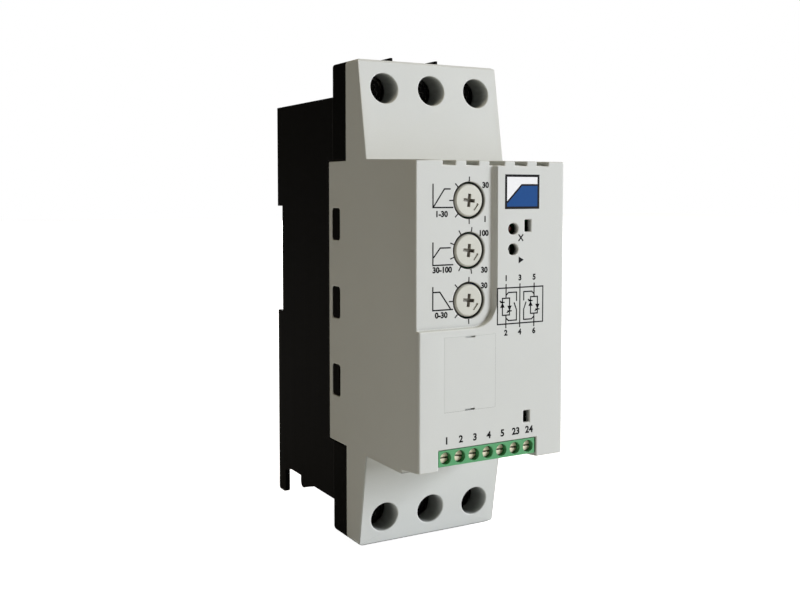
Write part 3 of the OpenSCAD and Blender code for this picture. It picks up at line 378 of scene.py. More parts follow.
clip_finish = moulded_finish("black_nylon", CLIP_BLACK, roughness=0.45, rubbed=CLIP_RUBBED,
                             rubbing=0.6, Specular_IOR_Level=0.35)
zinc_finish = metal_finish("zinc_plate", ZINC, roughness=0.32, scale=ZINC_SPECKS, tone=0.35,
                           relief=0.008 * MM)
dress(softened("din_bracket", CLIP_EDGE), "din_bracket", clip_finish)
dress(softened("din_latch", CLIP_EDGE), "din_latch", clip_finish)
dress(softened("bracket_screws", CLIP_SCREW_EDGE), "bracket_screws", zinc_finish)

# Latch spring
# A coil of zinc-plated spring wire with closed ends, set between the bracket's stop and the end
# of the latch's slot.
SPRING_TURNS = 8.0
SPRING_TURN_STEPS = 40
SPRING_WIRE_R = 0.3 * MM
SPRING_WIRE_SIDES = 12


def made_by(piece, tree, values):
    """Runs a geometry tree on a piece and keeps the result as the piece's plain mesh."""
    maker = piece.modifiers.new("making", "NODES")
    maker.node_group = tree
    keys = {item.name: item.identifier for item in tree.interface.items_tree
            if item.in_out == "INPUT"}
    for name, value in values.items():
        maker[keys[name]] = value
    graph = bpy.context.evaluated_depsgraph_get()
    body = bpy.data.meshes.new_from_object(piece.evaluated_get(graph), depsgraph=graph,
                                           preserve_all_data_layers=True)
    piece.modifiers.remove(maker)
    body.name = piece.name
    piece.data = body


def maker_tree(name, inputs):
    """A new geometry tree with its sockets, its input node and its output node."""
    tree = bpy.data.node_groups.new(name, "GeometryNodeTree")
    for socket, kind in {"Geometry": "Geometry", **inputs}.items():
        tree.interface.new_socket(socket, in_out="INPUT", socket_type=f"NodeSocket{kind}")
    tree.interface.new_socket("Geometry", in_out="OUTPUT", socket_type="NodeSocketGeometry")
    return tree, tree.nodes.new("NodeGroupInput"), tree.nodes.new("NodeGroupOutput")


def end_tree(tree, end, shape, finish):
    """Ends a geometry tree in real faces with their material."""
    real = add(tree, "GeometryNodeRealizeInstances", {"Geometry": shape})
    coated = add(tree, "GeometryNodeSetMaterial", {"Geometry": real.outputs["Geometry"],
                                                   "Material": finish})
    tree.links.new(coated.outputs["Geometry"], end.inputs["Geometry"])


coil, taken, given = maker_tree("closed_coil", {
    "Turns": "Float", "Radius": "Float", "Wire": "Float", "Low": "Vector", "High": "Vector",
    "Finish": "Material"})
rise = add(coil, "ShaderNodeVectorMath", {0: taken.outputs["High"], 1: taken.outputs["Low"]},
           operation="SUBTRACT")
height = add(coil, "ShaderNodeSeparateXYZ", {"Vector": rise.outputs["Vector"]})
spiral = add(coil, "GeometryNodeCurveSpiral", {
    "Resolution": SPRING_TURN_STEPS, "Rotations": taken.outputs["Turns"],
    "Start Radius": taken.outputs["Radius"], "End Radius": taken.outputs["Radius"],
    "Height": height.outputs["Z"]})
ring = add(coil, "GeometryNodeCurvePrimitiveCircle", {"Resolution": SPRING_TURN_STEPS,
                                                      "Radius": taken.outputs["Radius"]})
upper = add(coil, "GeometryNodeTransform", {"Geometry": ring.outputs["Curve"],
                                            "Translation": rise.outputs["Vector"]})
runs = add(coil, "GeometryNodeJoinGeometry")
for run in (spiral.outputs["Curve"], ring.outputs["Curve"], upper.outputs["Geometry"]):
    coil.links.new(run, runs.inputs["Geometry"])
section = add(coil, "GeometryNodeCurvePrimitiveCircle", {"Resolution": SPRING_WIRE_SIDES,
                                                         "Radius": taken.outputs["Wire"]})
wire = add(coil, "GeometryNodeCurveToMesh", {
    "Curve": runs.outputs["Geometry"], "Profile Curve": section.outputs["Curve"],
    "Fill Caps": True})
placed = add(coil, "GeometryNodeTransform", {"Geometry": wire.outputs["Mesh"],
                                             "Translation": taken.outputs["Low"]})
end_tree(coil, given, placed.outputs["Geometry"], taken.outputs["Finish"])

spring_low, spring_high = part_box("latch_spring")
spring_axis = (spring_low + spring_high) / 2
spring_seat = Vector((0, spring_axis.y, spring_low.z))
spring_top = Vector((0, spring_axis.y, spring_high.z))
lift = Vector((0, 0, SPRING_WIRE_R))
spring = new_object("latch_spring_finished", bpy.data.meshes.new("latch_spring_finished"))
made_by(spring, coil, {"Turns": SPRING_TURNS, "Wire": SPRING_WIRE_R,
                       "Radius": (spring_high.x - spring_low.x) / 2 - SPRING_WIRE_R,
                       "Low": spring_seat + lift, "High": spring_top - lift,
                       "Finish": zinc_finish})
for face in spring.data.polygons:
    face.use_smooth = True
dress(spring, "latch_spring", zinc_finish)
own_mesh(spring)

# Thyristor modules
# Two moulded epoxy power modules, each screwed to the heat sink by its flanges, with a dipped
# temperature sensor between them.
MODULE_BLACK = (0.022, 0.022, 0.024)
SENSOR_BLUE = (0.02, 0.07, 0.30)


def finish_nodes(finish, *nodes):
    """Gives CAD nodes that stay as they are their finish."""
    for node in nodes:
        for slot in frame["nodes"][node].material_slots:
            slot.material = finish


module_finish = moulded_finish("moulded_epoxy", MODULE_BLACK, roughness=0.5, grain=1500.0,
                               mottle=0.3, relief=0.02 * MM)
sensor_finish = moulded_finish("dipped_coating", SENSOR_BLUE, roughness=0.3, grain=500.0,
                               mottle=0.4, relief=0.05 * MM, Coat_Weight=0.4)
finish_nodes(module_finish, "thyristor_left", "thyristor_right")
finish_nodes(zinc_finish, "thyristor_screws")
finish_nodes(sensor_finish, "thermistor")

# Base
# One black glass-filled moulding: a tub inside the cover with the terminal block of each end,
# snapped into the cover's side windows and held to the heat sink by four screws.
BASE_EDGE = 0.2 * MM
BASE_BLACK = (0.006, 0.006, 0.006)
BASE_RUBBED = (0.03, 0.03, 0.03)
LINE_CORNER_R = 1.2 * MM
LOAD_CORNER_R = 2.2 * MM
CORNER_TURNS = [math.radians(angle) for angle in (15, 30, 45, 60, 75)]


def end_corners():
    """The planes that round the four corners of the front outline of the base and the cover."""
    low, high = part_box("front_cover")
    planes = []
    for x, right in ((low.x, -1), (high.x, 1)):
        for z, up, radius in ((low.z, -1, LOAD_CORNER_R), (high.z, 1, LINE_CORNER_R)):
            middle = Vector((x - right * radius, 0, z - up * radius))
            for angle in CORNER_TURNS:
                outward = Vector((right * math.cos(angle), 0, up * math.sin(angle)))
                planes.append((middle + radius * outward, outward))
    return planes


base_finish = moulded_finish("black_moulding", BASE_BLACK, roughness=0.55, grain=1900.0, mottle=0.3,
                             relief=0.02 * MM, rubbed=BASE_RUBBED, rubbing=0.6,
                             Specular_IOR_Level=DULL)
dress(softened("base_housing", BASE_EDGE, trim=end_corners()), "base_housing", base_finish)
finish_nodes(zinc_finish, "base_screws")

# Busbars and box clamps
# Bent strips of bare copper from each terminal to the modules, and straight through in the middle
# pole. Zinc-plated steel cages hold a wire against each end.
COPPER = (0.62, 0.30, 0.17)
COPPER_LINES = (400, 400, 30)

copper_finish = metal_finish("bare_copper", COPPER, roughness=0.3, scale=COPPER_LINES, tone=0.5,
                             relief=0.01 * MM)
finish_nodes(copper_finish, "line_busbars", "load_busbars", "through_busbar")
finish_nodes(zinc_finish, "line_clamps", "load_clamps")

# Terminal screws
# Three black-oxide cross-head screws at each end, reached through the round holes in the cover.
# They are driven by hand, so each stands at its own angle.
SCREW_EDGE = 0.15 * MM
SCREW_BLACK = (0.02, 0.02, 0.021)
SCREW_RUBBED = (0.25, 0.25, 0.25)
SCREW_SPECKS = (1500, 1500, 1500)
POLES = 3
POLE_PITCH = 17.5 * MM
FREE_TURN = math.radians(40)

screw_row, taken, given = maker_tree("screw_row", {
    "Count": "Int", "Pitch": "Float", "Start": "Vector", "Turn": "Float", "Seed": "Int",
    "Finish": "Material"})
step = add(screw_row, "ShaderNodeCombineXYZ", {"X": taken.outputs["Pitch"]})
spots = add(screw_row, "GeometryNodeMeshLine", {
    "Count": taken.outputs["Count"], "Start Location": taken.outputs["Start"],
    "Offset": step.outputs["Vector"]}, mode="OFFSET")
least = calc(screw_row, "MULTIPLY", taken.outputs["Turn"], -1.0)
turned = add(screw_row, "FunctionNodeRandomValue", {
    "Min": least, "Max": taken.outputs["Turn"], "Seed": taken.outputs["Seed"]}, data_type="FLOAT")
angle = next(s for s in turned.outputs if s.enabled)
spin = add(screw_row, "ShaderNodeCombineXYZ", {"Y": angle})
way = add(screw_row, "FunctionNodeEulerToRotation", {"Euler": spin.outputs["Vector"]})
screws = add(screw_row, "GeometryNodeInstanceOnPoints", {
    "Points": spots.outputs["Mesh"], "Instance": taken.outputs["Geometry"],
    "Rotation": way.outputs["Rotation"]})
end_tree(screw_row, given, screws.outputs["Instances"], taken.outputs["Finish"])


def row_of_screws(node, edge, count, pitch, turn, seed, finish):
    """Rounds the first screw of a CAD node, sets it out in a row again and dresses the row."""
    low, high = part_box(node)
    middle = (low + high) / 2
    first = Vector((middle.x - (count - 1) / 2 * pitch, 0, middle.z))
    piece = softened(node, edge, keep=lambda point: point.x < first.x + pitch / 2)
    piece.data.transform(Matrix.Translation(-first))
    piece.modifiers.remove(piece.modifiers["flat_faces"])
    made_by(piece, screw_row, {"Count": count, "Pitch": pitch, "Start": first, "Turn": turn,
                               "Seed": seed, "Finish": finish})
    piece.modifiers.new("flat_faces", "WEIGHTED_NORMAL").keep_sharp = True
    dress(piece, node, finish)


oxide_finish = metal_finish("black_oxide", SCREW_BLACK, roughness=0.4, scale=SCREW_SPECKS, tone=0.5,
                            relief=0.01 * MM, rubbed=SCREW_RUBBED, rubbing=0.5)
for node, seed in (("line_screws", 3), ("load_screws", 8)):
    row_of_screws(node, SCREW_EDGE, POLES, POLE_PITCH, FREE_TURN, seed, oxide_finish)

# Power board
# A glass-laminate board on the base's pillars, with two orange bypass relays, a slim white signal
# relay, a taped transformer, sleeved capacitors, dipped varistors and a pin header.
BOARD_GREEN = (0.010, 0.085, 0.030)
TRACK_GREEN = (0.020, 0.150, 0.050)
RELAY_ORANGE = (0.66, 0.19, 0.02)
RELAY_WHITE = (0.70, 0.70, 0.68)
TAPE_YELLOW = (0.62, 0.40, 0.05)
SLEEVE_BLUE = (0.010, 0.018, 0.110)
TRACKS_UPRIGHT = (math.pi / 2, 0, 0)

board_finish, tree, shader = new_finish("solder_resist", Coat_Weight=0.5)
upright = add(tree, "ShaderNodeMapping", {"Vector": own_place(tree), "Rotation": TRACKS_UPRIGHT})
tracks = add(tree, "ShaderNodeTexBrick", {
    "Vector": upright.outputs["Vector"], "Color1": opaque(BOARD_GREEN),
    "Color2": opaque(BOARD_GREEN), "Mortar": opaque(TRACK_GREEN), "Scale": 160.0,
    "Mortar Size": 0.06})
skin = add(tree, "ShaderNodeGroup", {"Colour": tracks.outputs["Color"], "Grain": 1200.0,
                                     "Mottle": 0.15, "Roughness": 0.35}, node_tree=moulded_skin)
coat(tree, shader, skin.outputs["Colour"], skin.outputs["Roughness"], tracks.outputs["Fac"],
     relief=0.03 * MM)

tape_finish, tree, shader = new_finish("wound_tape")
layers = add(tree, "ShaderNodeTexWave", {"Vector": own_place(tree), "Scale": 130.0,
                                         "Distortion": 0.6}, bands_direction="Z")
skin = add(tree, "ShaderNodeGroup", {"Colour": opaque(TAPE_YELLOW), "Grain": 700.0,
                                     "Mottle": 0.25, "Roughness": 0.5}, node_tree=moulded_skin)
coat(tree, shader, skin.outputs["Colour"], skin.outputs["Roughness"], layers.outputs["Fac"],
     relief=0.08 * MM)

orange_finish = moulded_finish("orange_case", RELAY_ORANGE, roughness=0.42)
white_finish = moulded_finish("white_case", RELAY_WHITE, roughness=0.42)
sleeve_finish = moulded_finish("shrink_sleeve", SLEEVE_BLUE, roughness=0.25, grain=300.0,
                               Coat_Weight=0.3)
finish_nodes(board_finish, "power_board")
finish_nodes(orange_finish, "bypass_relay_left", "bypass_relay_right")
finish_nodes(white_finish, "signal_relay")
finish_nodes(tape_finish, "transformer")
finish_nodes(sleeve_finish, "capacitors")
finish_nodes(sensor_finish, "varistors")
finish_nodes(module_finish, "board_header")
finish_nodes(zinc_finish, "power_board_screws")

# Control board
# A second board on the cover's posts, with the processor and the three potentiometers whose
# spindles carry the dials.
finish_nodes(board_finish, "control_board")
finish_nodes(zinc_finish, "control_board_screws")
finish_nodes(module_finish, "processor")
finish_nodes(sensor_finish, "potentiometers")

# Control terminals
# A green polyamide block in the lower edge of the front, with seven nickel-plated slotted screws
# that press each wire in its zinc-plated cage.
BLOCK_EDGE = 0.12 * MM
BLOCK_GREEN = (0.084, 0.368, 0.146)
BLOCK_RUBBED = (0.16, 0.46, 0.23)
NICKEL = (0.88, 0.80, 0.62)
NICKEL_SPECKS = (1200, 1200, 1200)
# Painted shade in the screws' slots: its colour, its reach and the hidden share that stays unshaded.
SLOT_SHADE = ((0.06, 0.04, 0.025), 1.5 * MM, 0.2)
CONTROL_SCREW_EDGE = 0.1 * MM
CONTROL_POLES = 7
CONTROL_PITCH = 5.0
CONTROL_TURN = math.radians(7)

block_finish = moulded_finish("green_polyamide", BLOCK_GREEN, roughness=0.42, mottle=0.15,
                              rubbed=BLOCK_RUBBED, rubbing=0.8)
nickel_finish = metal_finish("nickel_plate", NICKEL, roughness=0.45, scale=NICKEL_SPECKS, tone=0.3,
                             relief=0.01 * MM, recess_shading=[SLOT_SHADE], metallic=0.35)
dress(softened("control_block", BLOCK_EDGE), "control_block", block_finish)
row_of_screws("control_screws", CONTROL_SCREW_EDGE, CONTROL_POLES, CONTROL_PITCH * MM,
              CONTROL_TURN, seed=5, finish=nickel_finish)
finish_nodes(zinc_finish, "control_clamps")

# Front cover
# One light-grey moulding with a fine matt grain: the front block with its dial panel and vents,
# the two sloped terminal hoods and the side skirts that snap over the base.
COVER_EDGE = 0.45 * MM
COVER_GREY = (0.66, 0.687, 0.66)
COVER_RUBBED = (0.74, 0.765, 0.735)
COVER_SKIN = {"roughness": 0.62, "mottle": 0.05, "relief": 0.01 * MM, "Specular_IOR_Level": 0.25}
# Painted shade: a wide reach darkens the terminal holes, a short one the grooves, vents and the dial
# panel's wall.
HOLE_SHADE = ((0.22, 0.23, 0.22), 14 * MM, 0.45)
GROOVE_SHADE = ((0.10, 0.10, 0.09), 3 * MM, 0.1)
BAY_RIM = 0.4 * MM


def bay_rim(point):
    """Tells whether a point lies on the rim of the option bay, which is moulded sharp."""
    low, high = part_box("option_cover")
    return (low.x - BAY_RIM < point.x < high.x + BAY_RIM
            and low.z - BAY_RIM < point.z < high.z + BAY_RIM)


cover_finish = moulded_finish("grey_moulding", COVER_GREY, **COVER_SKIN, rubbed=COVER_RUBBED,
                              rubbing=0.7, recess_shading=[HOLE_SHADE, GROOVE_SHADE])
cover = softened("front_cover", COVER_EDGE, crisp=bay_rim, trim=end_corners())
dress(cover, "front_cover", cover_finish)

# Option cover
# A blind plate of the same grey moulding, flush in the front's option bay and held by two snap
# tongues behind it.
PLATE_EDGE = 0.04 * MM
PLATE_FIT = 0.14 * MM

plate = softened("option_cover", PLATE_EDGE)
low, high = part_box("option_cover")
width, height = high.x - low.x, high.z - low.z
plate.data.transform(Matrix.Translation((low + high) / 2)
                     @ Matrix.Diagonal((1 + PLATE_FIT / width, 1, 1 + PLATE_FIT / height, 1))
                     @ Matrix.Translation(-(low + high) / 2))
dress(plate, "option_cover", moulded_finish("grey_plate", COVER_GREY, **COVER_SKIN))

# Lamps
# Two round-nosed lamps of tinted epoxy, each cast in one piece with its flange. They stand on the
# control board, set back in round holes of the front, and are unlit.
LAMP_EDGE = 0.05 * MM
LAMP_RED = (0.085, 0.016, 0.010)
LAMP_GREEN = (0.010, 0.012, 0.008)

for node, colour in (("lamp_error", LAMP_RED), ("lamp_run", LAMP_GREEN)):
    lamp = softened(node, LAMP_EDGE)
    dress(lamp, node, moulded_finish(f"{node}_epoxy", colour, roughness=0.25, grain=400.0,
                                     mottle=0.3, relief=0.004 * MM, Coat_Weight=0.3))

# Trimmer dials
# Three ivory mouldings pressed on the potentiometers' spindles, each with a deep cross recess for
# a screwdriver and a short groove on the side that points along the scale.
DIAL_EDGE = 0.1 * MM
DIAL_IVORY = (0.62, 0.633, 0.56)
# Painted shade in each dial's cross recess and ring gap.
DIAL_SHADE = ((0.27, 0.25, 0.22), 2.5 * MM, 0.15)
DIALS = ("dial_start_time", "dial_start_voltage", "dial_stop_time")

dial_finish = moulded_finish("ivory_moulding", DIAL_IVORY, roughness=0.4, mottle=0.06,
                             relief=0.006 * MM, recess_shading=[DIAL_SHADE])
for node in DIALS:
    dress(softened(node, DIAL_EDGE), node, dial_finish)

# Dial scales
# Short black lines printed round each dial on the sunk panel, with plain numbers at the ends of
# the scales.
INK_BLACK = (0.008, 0.008, 0.009)
INK_SKIN = {"roughness": 0.6, "grain": 900.0, "relief": 0.004 * MM, "Specular_IOR_Level": 0.1}
INK_PROUD = 0.03
INK_SUNK = 0.02
PANEL_DEPTH = 1.6
TICK_W, TICK_L, TICK_R = 0.35, 1.4, 5.6
SCALES = {"dial_start_time": (5, 0.0, -45.0), "dial_start_voltage": (6, 8.0, -39.1),
          "dial_stop_time": (5, 0.0, -45.0)}
NUMBER_H = 1.7
NUMBER_BOLD = 0.1
NUMBER_STEPS = 3
DIGIT_SHARE = 0.72

front_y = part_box("front_cover")[0].y
panel_y = front_y + PANEL_DEPTH * MM
ink_finish = moulded_finish("black_ink", INK_BLACK, **INK_SKIN, mottle=0.4)


def inked(name, outlines, face_y, finish=ink_finish):
    """Prints closed outlines, given in millimetres across and up, on a face of the unit that looks
    to the front."""
    print_mesh = bmesh.new()
    for outline in outlines:
        print_mesh.faces.new([print_mesh.verts.new((x * MM, face_y + INK_SUNK * MM, z * MM))
                              for x, z in outline])
    bmesh.ops.remove_doubles(print_mesh, verts=print_mesh.verts, dist=WELD)
    raised = bmesh.ops.extrude_face_region(print_mesh, geom=print_mesh.faces[:], use_keep_orig=True)
    lifted = [item for item in raised["geom"] if isinstance(item, bmesh.types.BMVert)]
    bmesh.ops.translate(print_mesh, verts=lifted, vec=(0, -(INK_SUNK + INK_PROUD) * MM, 0))
    bmesh.ops.recalc_face_normals(print_mesh, faces=print_mesh.faces)
    body_mesh = bpy.data.meshes.new(name)
    print_mesh.to_mesh(body_mesh)
    print_mesh.free()
    body_mesh.materials.append(finish)
    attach(new_object(name, body_mesh), "unit")


ticks, taken, given = maker_tree("scale_ticks", {
    "Count": "Int", "First": "Float", "Step": "Float", "Size": "Vector", "Radius": "Float",
    "Middle": "Vector", "Finish": "Material"})
spots = add(ticks, "GeometryNodeMeshLine", {"Count": taken.outputs["Count"], "Offset": (0, 0, 0)},
            mode="OFFSET")
index = add(ticks, "GeometryNodeInputIndex").outputs["Index"]
turn = calc(ticks, "MULTIPLY_ADD", index, taken.outputs["Step"], taken.outputs["First"])
spin = add(ticks, "ShaderNodeCombineXYZ", {"Y": turn})
way = add(ticks, "FunctionNodeEulerToRotation", {"Euler": spin.outputs["Vector"]})
mark = add(ticks, "GeometryNodeMeshCube", {"Size": taken.outputs["Size"]})
out = add(ticks, "ShaderNodeCombineXYZ", {"Z": taken.outputs["Radius"]})
moved = add(ticks, "GeometryNodeTransform", {"Geometry": mark.outputs["Mesh"],
                                             "Translation": out.outputs["Vector"]})
marks = add(ticks, "GeometryNodeInstanceOnPoints", {
    "Points": spots.outputs["Mesh"], "Instance": moved.outputs["Geometry"],
    "Rotation": way.outputs["Rotation"]})
placed = add(ticks, "GeometryNodeTransform", {"Geometry": marks.outputs["Instances"],
                                              "Translation": taken.outputs["Middle"]})
end_tree(ticks, given, placed.outputs["Geometry"], taken.outputs["Finish"])

for node, (count, first, step) in SCALES.items():
    middle = sum(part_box(node), Vector()) / 2
    scale = new_object(f"{node}_scale", bpy.data.meshes.new(f"{node}_scale"))
    made_by(scale, ticks, {"Count": count, "First": math.radians(first), "Step": math.radians(step),
                           "Size": Vector((TICK_W, 2 * INK_PROUD, TICK_L)) * MM,
                           "Radius": (TICK_R + TICK_L / 2) * MM,
                           "Middle": Vector((middle.x, panel_y, middle.z)), "Finish": ink_finish})
    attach(scale, "unit")


def number(text, x, z, height):
    """The outlines of a plain number, centred at a point."""
    letters = bpy.data.curves.new("number", "FONT")
    letters.body = text
    letters.size = height / DIGIT_SHARE
    letters.align_x, letters.align_y = "CENTER", "CENTER"
    letters.offset = NUMBER_BOLD
    letters.resolution_u = NUMBER_STEPS
    shown = new_object("number", letters)
    graph = bpy.context.evaluated_depsgraph_get()
    flat = bpy.data.meshes.new_from_object(shown.evaluated_get(graph), depsgraph=graph)
    outlines = [[(x + flat.vertices[i].co.x, z + flat.vertices[i].co.y) for i in face.vertices]
                for face in flat.polygons]
    bpy.data.objects.remove(shown)
    bpy.data.curves.remove(letters)
    bpy.data.meshes.remove(flat)
    return outlines


def numbers(height, rows):
    """The outlines of several numbers of one height."""
    return [outline for text, x, z in rows for outline in number(text, x, z, height)]


inked("dial_numbers", numbers(NUMBER_H, [
    ("30", -2.2, 26.7), ("1", -2.3, 16.6), ("100", -2.8, 12.4), ("30", -2.5, 1.4),
    ("30", -2.5, -3.3), ("1-30", -17.6, 18.2), ("30-100", -17.3, 1.9), ("0-30", -17.6, -11.4)]),
    panel_y)

# Ramp signs
# Small black charts printed left of the dials: axes with the rise, the first step and the fall of
# the motor's voltage.
SIGN_W = 0.4
SHARPEST_MITRE = 0.4


def stroke(points, width):
    """The outline of a line of even width along points, with mitred corners."""
    sides = ([], [])
    for i, point in enumerate(points):
        here = Vector(point)
        before = (here - Vector(points[i - 1])).normalized() if i else None
        after = (Vector(points[i + 1]) - here).normalized() if i + 1 < len(points) else None
        near = before or after
        along = (near + (after or before)).normalized()
        across = Vector((-along.y, along.x))
        mitre = abs(across.dot(Vector((-near.y, near.x))))
        reach = width / 2 / max(SHARPEST_MITRE, mitre)
        sides[0].append(tuple(here + across * reach))
        sides[1].append(tuple(here - across * reach))
    return sides[0] + sides[1][::-1]


inked("ramp_signs", [stroke(points, SIGN_W) for points in (
    [(-20.5, 27.1), (-20.5, 20.2), (-13.5, 20.2)], [(-20.3, 20.4), (-16.6, 25.6), (-14.5, 25.6)],
    [(-20.5, 10.1), (-20.5, 3.4), (-13.5, 3.4)], [(-20.3, 5.6), (-18.0, 8.4), (-14.4, 8.4)],
    [(-20.5, -2.9), (-20.5, -9.8), (-13.5, -9.8)], [(-20.3, -4.5), (-18.1, -4.5), (-14.4, -9.6)])],
    panel_y)

# Front signs
# A framed blue and white chart, two plain signs beside the lamps, the circuit of the power stage
# with its terminal numbers, and the numbers of the control terminals, all printed on the front.
CHART_BLUE = (0.010, 0.075, 0.270)
CHART_WHITE = (0.93, 0.95, 0.96)
FRAME_LOW, FRAME_HIGH, FRAME_W = (3.8, 19.6), (16.6, 30.0), 0.75
FRAME_PROUD = 0.004 * MM
RAMP_FOOT, RAMP_RUN, RAMP_DROP, RAMP_W = 1.2, 5.4, 2.4, 0.55
LINE_W = 0.38
BOX_LOW, BOX_HIGH = (1.1, -15.3), (18.45, -4.0)
LEAD_TOP, LEAD_LOW = -3.0, -16.4
POLES_X = (4.4, 9.55, 14.9)
POLE_NUMBERS = (("135", -1.3), ("246", -17.85))
TERMINALS = ("1", "2", "3", "4", "5", "23", "24")
TERMINAL_X, TERMINAL_Z, TERMINAL_H = -16.6, -48.4, 2.1


def rim(low, high, width):
    """The four bars of a rectangular frame."""
    (x0, z0), (x1, z1) = low, high
    return [[(x0, z0), (x1, z0), (x1, z0 + width), (x0, z0 + width)],
            [(x0, z1 - width), (x1, z1 - width), (x1, z1), (x0, z1)],
            [(x0, z0 + width), (x0 + width, z0 + width), (x0 + width, z1 - width), (x0, z1 - width)],
            [(x1 - width, z0 + width), (x1, z0 + width), (x1, z1 - width), (x1 - width, z1 - width)]]


def thyristor(x, z, up):
    """A thyristor's triangle, bar and gate on an upright line."""
    half, way = 0.8, 1 if up else -1
    gate_start, gate_reach, gate_rise = 0.1, 1.0, 1.3
    foot, tip = z - way * half, z + way * half
    gate = [(x - gate_start, tip), (x - gate_reach, z + way * gate_rise)]
    return [[(x - half, foot), (x + half, foot), (x, tip)],
            stroke([(x - half, tip), (x + half, tip)], LINE_W), stroke(gate, LINE_W)]


def phase(x, side):
    """One controlled pole of the circuit: two thyristors back to back with a bypass contact
    beside them."""
    top, low, near, far, slant = -7.1, -12.6, 1.5, 3.9, 0.9
    left_z, right_z = -9.3, -10.4
    leave, over, stop = -6.4, -5.6, -8.3
    tip, pivot, under, back = -8.7, -11.0, -14.1, -13.3
    outlines = [stroke([(x, LEAD_TOP), (x, top)], LINE_W), stroke([(x, low), (x, LEAD_LOW)], LINE_W)]
    outlines += rim((x - near, low), (x + near, top), LINE_W)
    outlines += thyristor(x - near + LINE_W / 2, left_z, True)
    outlines += thyristor(x + near - LINE_W / 2, right_z, False)
    contact, turn = x + side * far, x + side * slant
    fixed = [(x, leave), (turn, over), (contact, over), (contact, stop)]
    moving = [(contact - side * slant, tip), (contact, pivot), (contact, under), (turn, under),
              (x, back)]
    return outlines + [stroke(fixed, LINE_W), stroke(moving, LINE_W)]


white_ink = moulded_finish("white_ink", CHART_WHITE, **INK_SKIN, mottle=0.05)
blue_ink = moulded_finish("blue_ink", CHART_BLUE, **INK_SKIN, mottle=0.15)
x0, z0 = (c + FRAME_W for c in FRAME_LOW)
x1, z1 = (c - FRAME_W for c in FRAME_HIGH)
ramp = [(x0, z0 + RAMP_FOOT), (x0 + RAMP_RUN, z1 - RAMP_DROP), (x1, z1 - RAMP_DROP)]
inked("chart_frame", rim(FRAME_LOW, FRAME_HIGH, FRAME_W) + [stroke(ramp, RAMP_W)],
      front_y - FRAME_PROUD)
inked("chart_white", [[*ramp, (x1, z1), (x0, z1)]], front_y, white_ink)
inked("chart_blue", [[*ramp, (x1, z0), (x0, z0)]], front_y, blue_ink)
inked("lamp_signs", [
    stroke([(8.9, 9.9), (10.6, 11.9)], SIGN_W), stroke([(8.9, 11.9), (10.6, 9.9)], SIGN_W),
    [(9.0, 3.1), (10.9, 4.15), (9.0, 5.2)]], front_y)
left, middle, right = POLES_X
inked("circuit", [
    *rim(BOX_LOW, BOX_HIGH, LINE_W), stroke([(middle, LEAD_TOP), (middle, LEAD_LOW)], LINE_W),
    *phase(left, 1), *phase(right, -1)], front_y)
inked("circuit_numbers", numbers(NUMBER_H, [
    (text, x, z) for row, z in POLE_NUMBERS for text, x in zip(row, POLES_X)]), front_y)
inked("terminal_numbers", numbers(TERMINAL_H, [
    (text, TERMINAL_X + i * CONTROL_PITCH, TERMINAL_Z) for i, text in enumerate(TERMINALS)]),
    front_y)

# Studio
# A white floor, bright to the camera like a light table, in weak warm shade, with a large softbox
# at the front right, one above and one behind.
FLOOR_WHITE = (0.92, 0.92, 0.92)
FLOOR_HALF = 4
SHADE = (0.0704, 0.0588, 0.038)
WHITE = (1, 1, 1)
GLOW_SEEN, GLOW_UNSEEN = 0.9, 0.0
KEY_PLACE, KEY_SIZE, KEY_POWER = (2.93, -2.55, 0.97), 1.3, 154.0
KEY_COLOUR = (0.93, 0.94, 1.0)
TOP_PLACE, TOP_SIZE, TOP_POWER = (0.0, -0.4, 3.5), 1.0, 35.5
TOP_COLOUR = (1.0, 0.894, 0.715)
BACK_PLACE, BACK_SIZE, BACK_POWER = (0.9, 3.7, 0.5), 0.8, 60.0

floor_mesh = bpy.data.meshes.new("floor")
floor_mesh.from_pydata([(x * FLOOR_HALF, y * FLOOR_HALF, cad_box[0].z)
                        for x, y in ((-1, -1), (1, -1), (1, 1), (-1, 1))], [], [(0, 1, 2, 3)])
floor = new_object("floor", floor_mesh)
floor_finish = moulded_finish("floor_paper", FLOOR_WHITE, roughness=0.8, grain=500.0, mottle=0.01,
                              Emission_Color=opaque(WHITE))
paper = floor_finish.node_tree
ray = add(paper, "ShaderNodeLightPath")
glow = add(paper, "ShaderNodeMapRange", {"Value": ray.outputs["Is Camera Ray"],
                                         "To Min": GLOW_UNSEEN, "To Max": GLOW_SEEN})
paper.links.new(glow.outputs["Result"],
                paper.nodes["Principled BSDF"].inputs["Emission Strength"])
floor_mesh.materials.append(floor_finish)

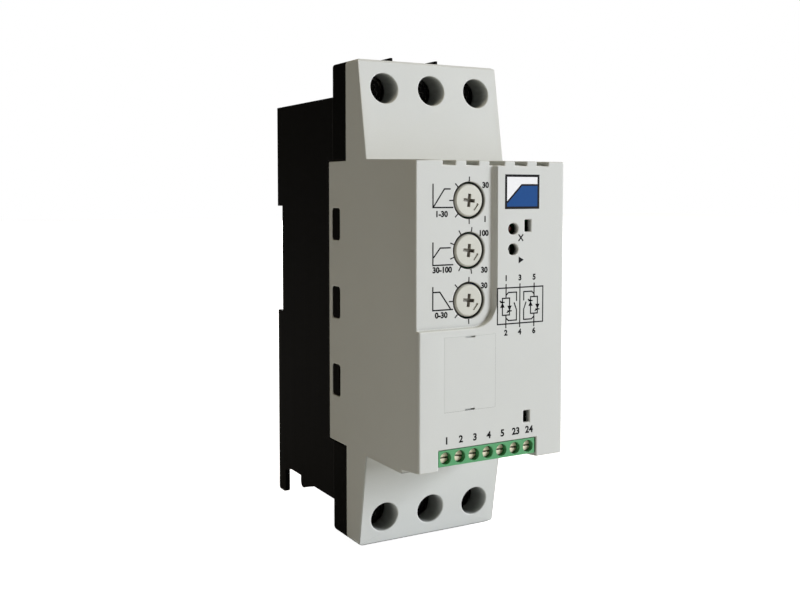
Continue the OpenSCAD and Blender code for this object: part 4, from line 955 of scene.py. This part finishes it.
world = bpy.data.worlds.new("studio")
bpy.context.scene.world = world
world.use_nodes = True
sky = world.node_tree
shade = sky.nodes["Background"]
shade.inputs["Color"].default_value = opaque(SHADE)
backdrop = add(sky, "ShaderNodeBackground", {"Color": opaque(WHITE), "Strength": 1.0})
seen = add(sky, "ShaderNodeLightPath")
either = add(sky, "ShaderNodeMixShader", {0: seen.outputs["Is Camera Ray"],
                                          1: shade.outputs["Background"],
                                          2: backdrop.outputs["Background"]})
sky.links.new(either.outputs["Shader"], sky.nodes["World Output"].inputs["Surface"])


def softbox(name, place, size, power, colour):
    """A square light that faces the object."""
    data = bpy.data.lights.new(name, "AREA")
    data.size = size
    data.energy = power
    data.color = colour
    light = new_object(name, data)
    light.location = place
    light.rotation_euler = (-Vector(place)).to_track_quat("-Z", "Y").to_euler()


softbox("key", KEY_PLACE, KEY_SIZE, KEY_POWER, KEY_COLOUR)
softbox("top", TOP_PLACE, TOP_SIZE, TOP_POWER, TOP_COLOUR)
softbox("back", BACK_PLACE, BACK_SIZE, BACK_POWER, WHITE)
bpy.context.scene.view_settings.view_transform = "Standard"

# Camera
# It stands left of the front, a little above the middle of the part, and looks slightly down. Its
# focal length and its shift give the photograph's framing.
VIEW_TURN = math.radians(29.18)
VIEW_TILT = math.radians(3.285)
VIEW_PLACE = Vector((-170.08, -342.85, 24.46)) * MM
IMAGE_W, IMAGE_H = 800, 600
FOCAL_PX, AXIS_X, AXIS_Y = 989.2, 393.53, 249.63
SENSOR_W = 36
NEAREST = 0.01

lens = bpy.data.cameras.new("camera")
lens.sensor_width = SENSOR_W
lens.lens = FOCAL_PX / IMAGE_W * SENSOR_W
lens.shift_x = (IMAGE_W / 2 - AXIS_X) / IMAGE_W
lens.shift_y = (AXIS_Y - IMAGE_H / 2) / IMAGE_W
lens.clip_start = NEAREST
camera = new_object("camera", lens)
away = Vector((math.sin(VIEW_TURN) * math.cos(VIEW_TILT),
               math.cos(VIEW_TURN) * math.cos(VIEW_TILT), -math.sin(VIEW_TILT)))
camera.location = VIEW_PLACE
camera.rotation_euler = away.to_track_quat("-Z", "Y").to_euler()
bpy.context.scene.camera = camera
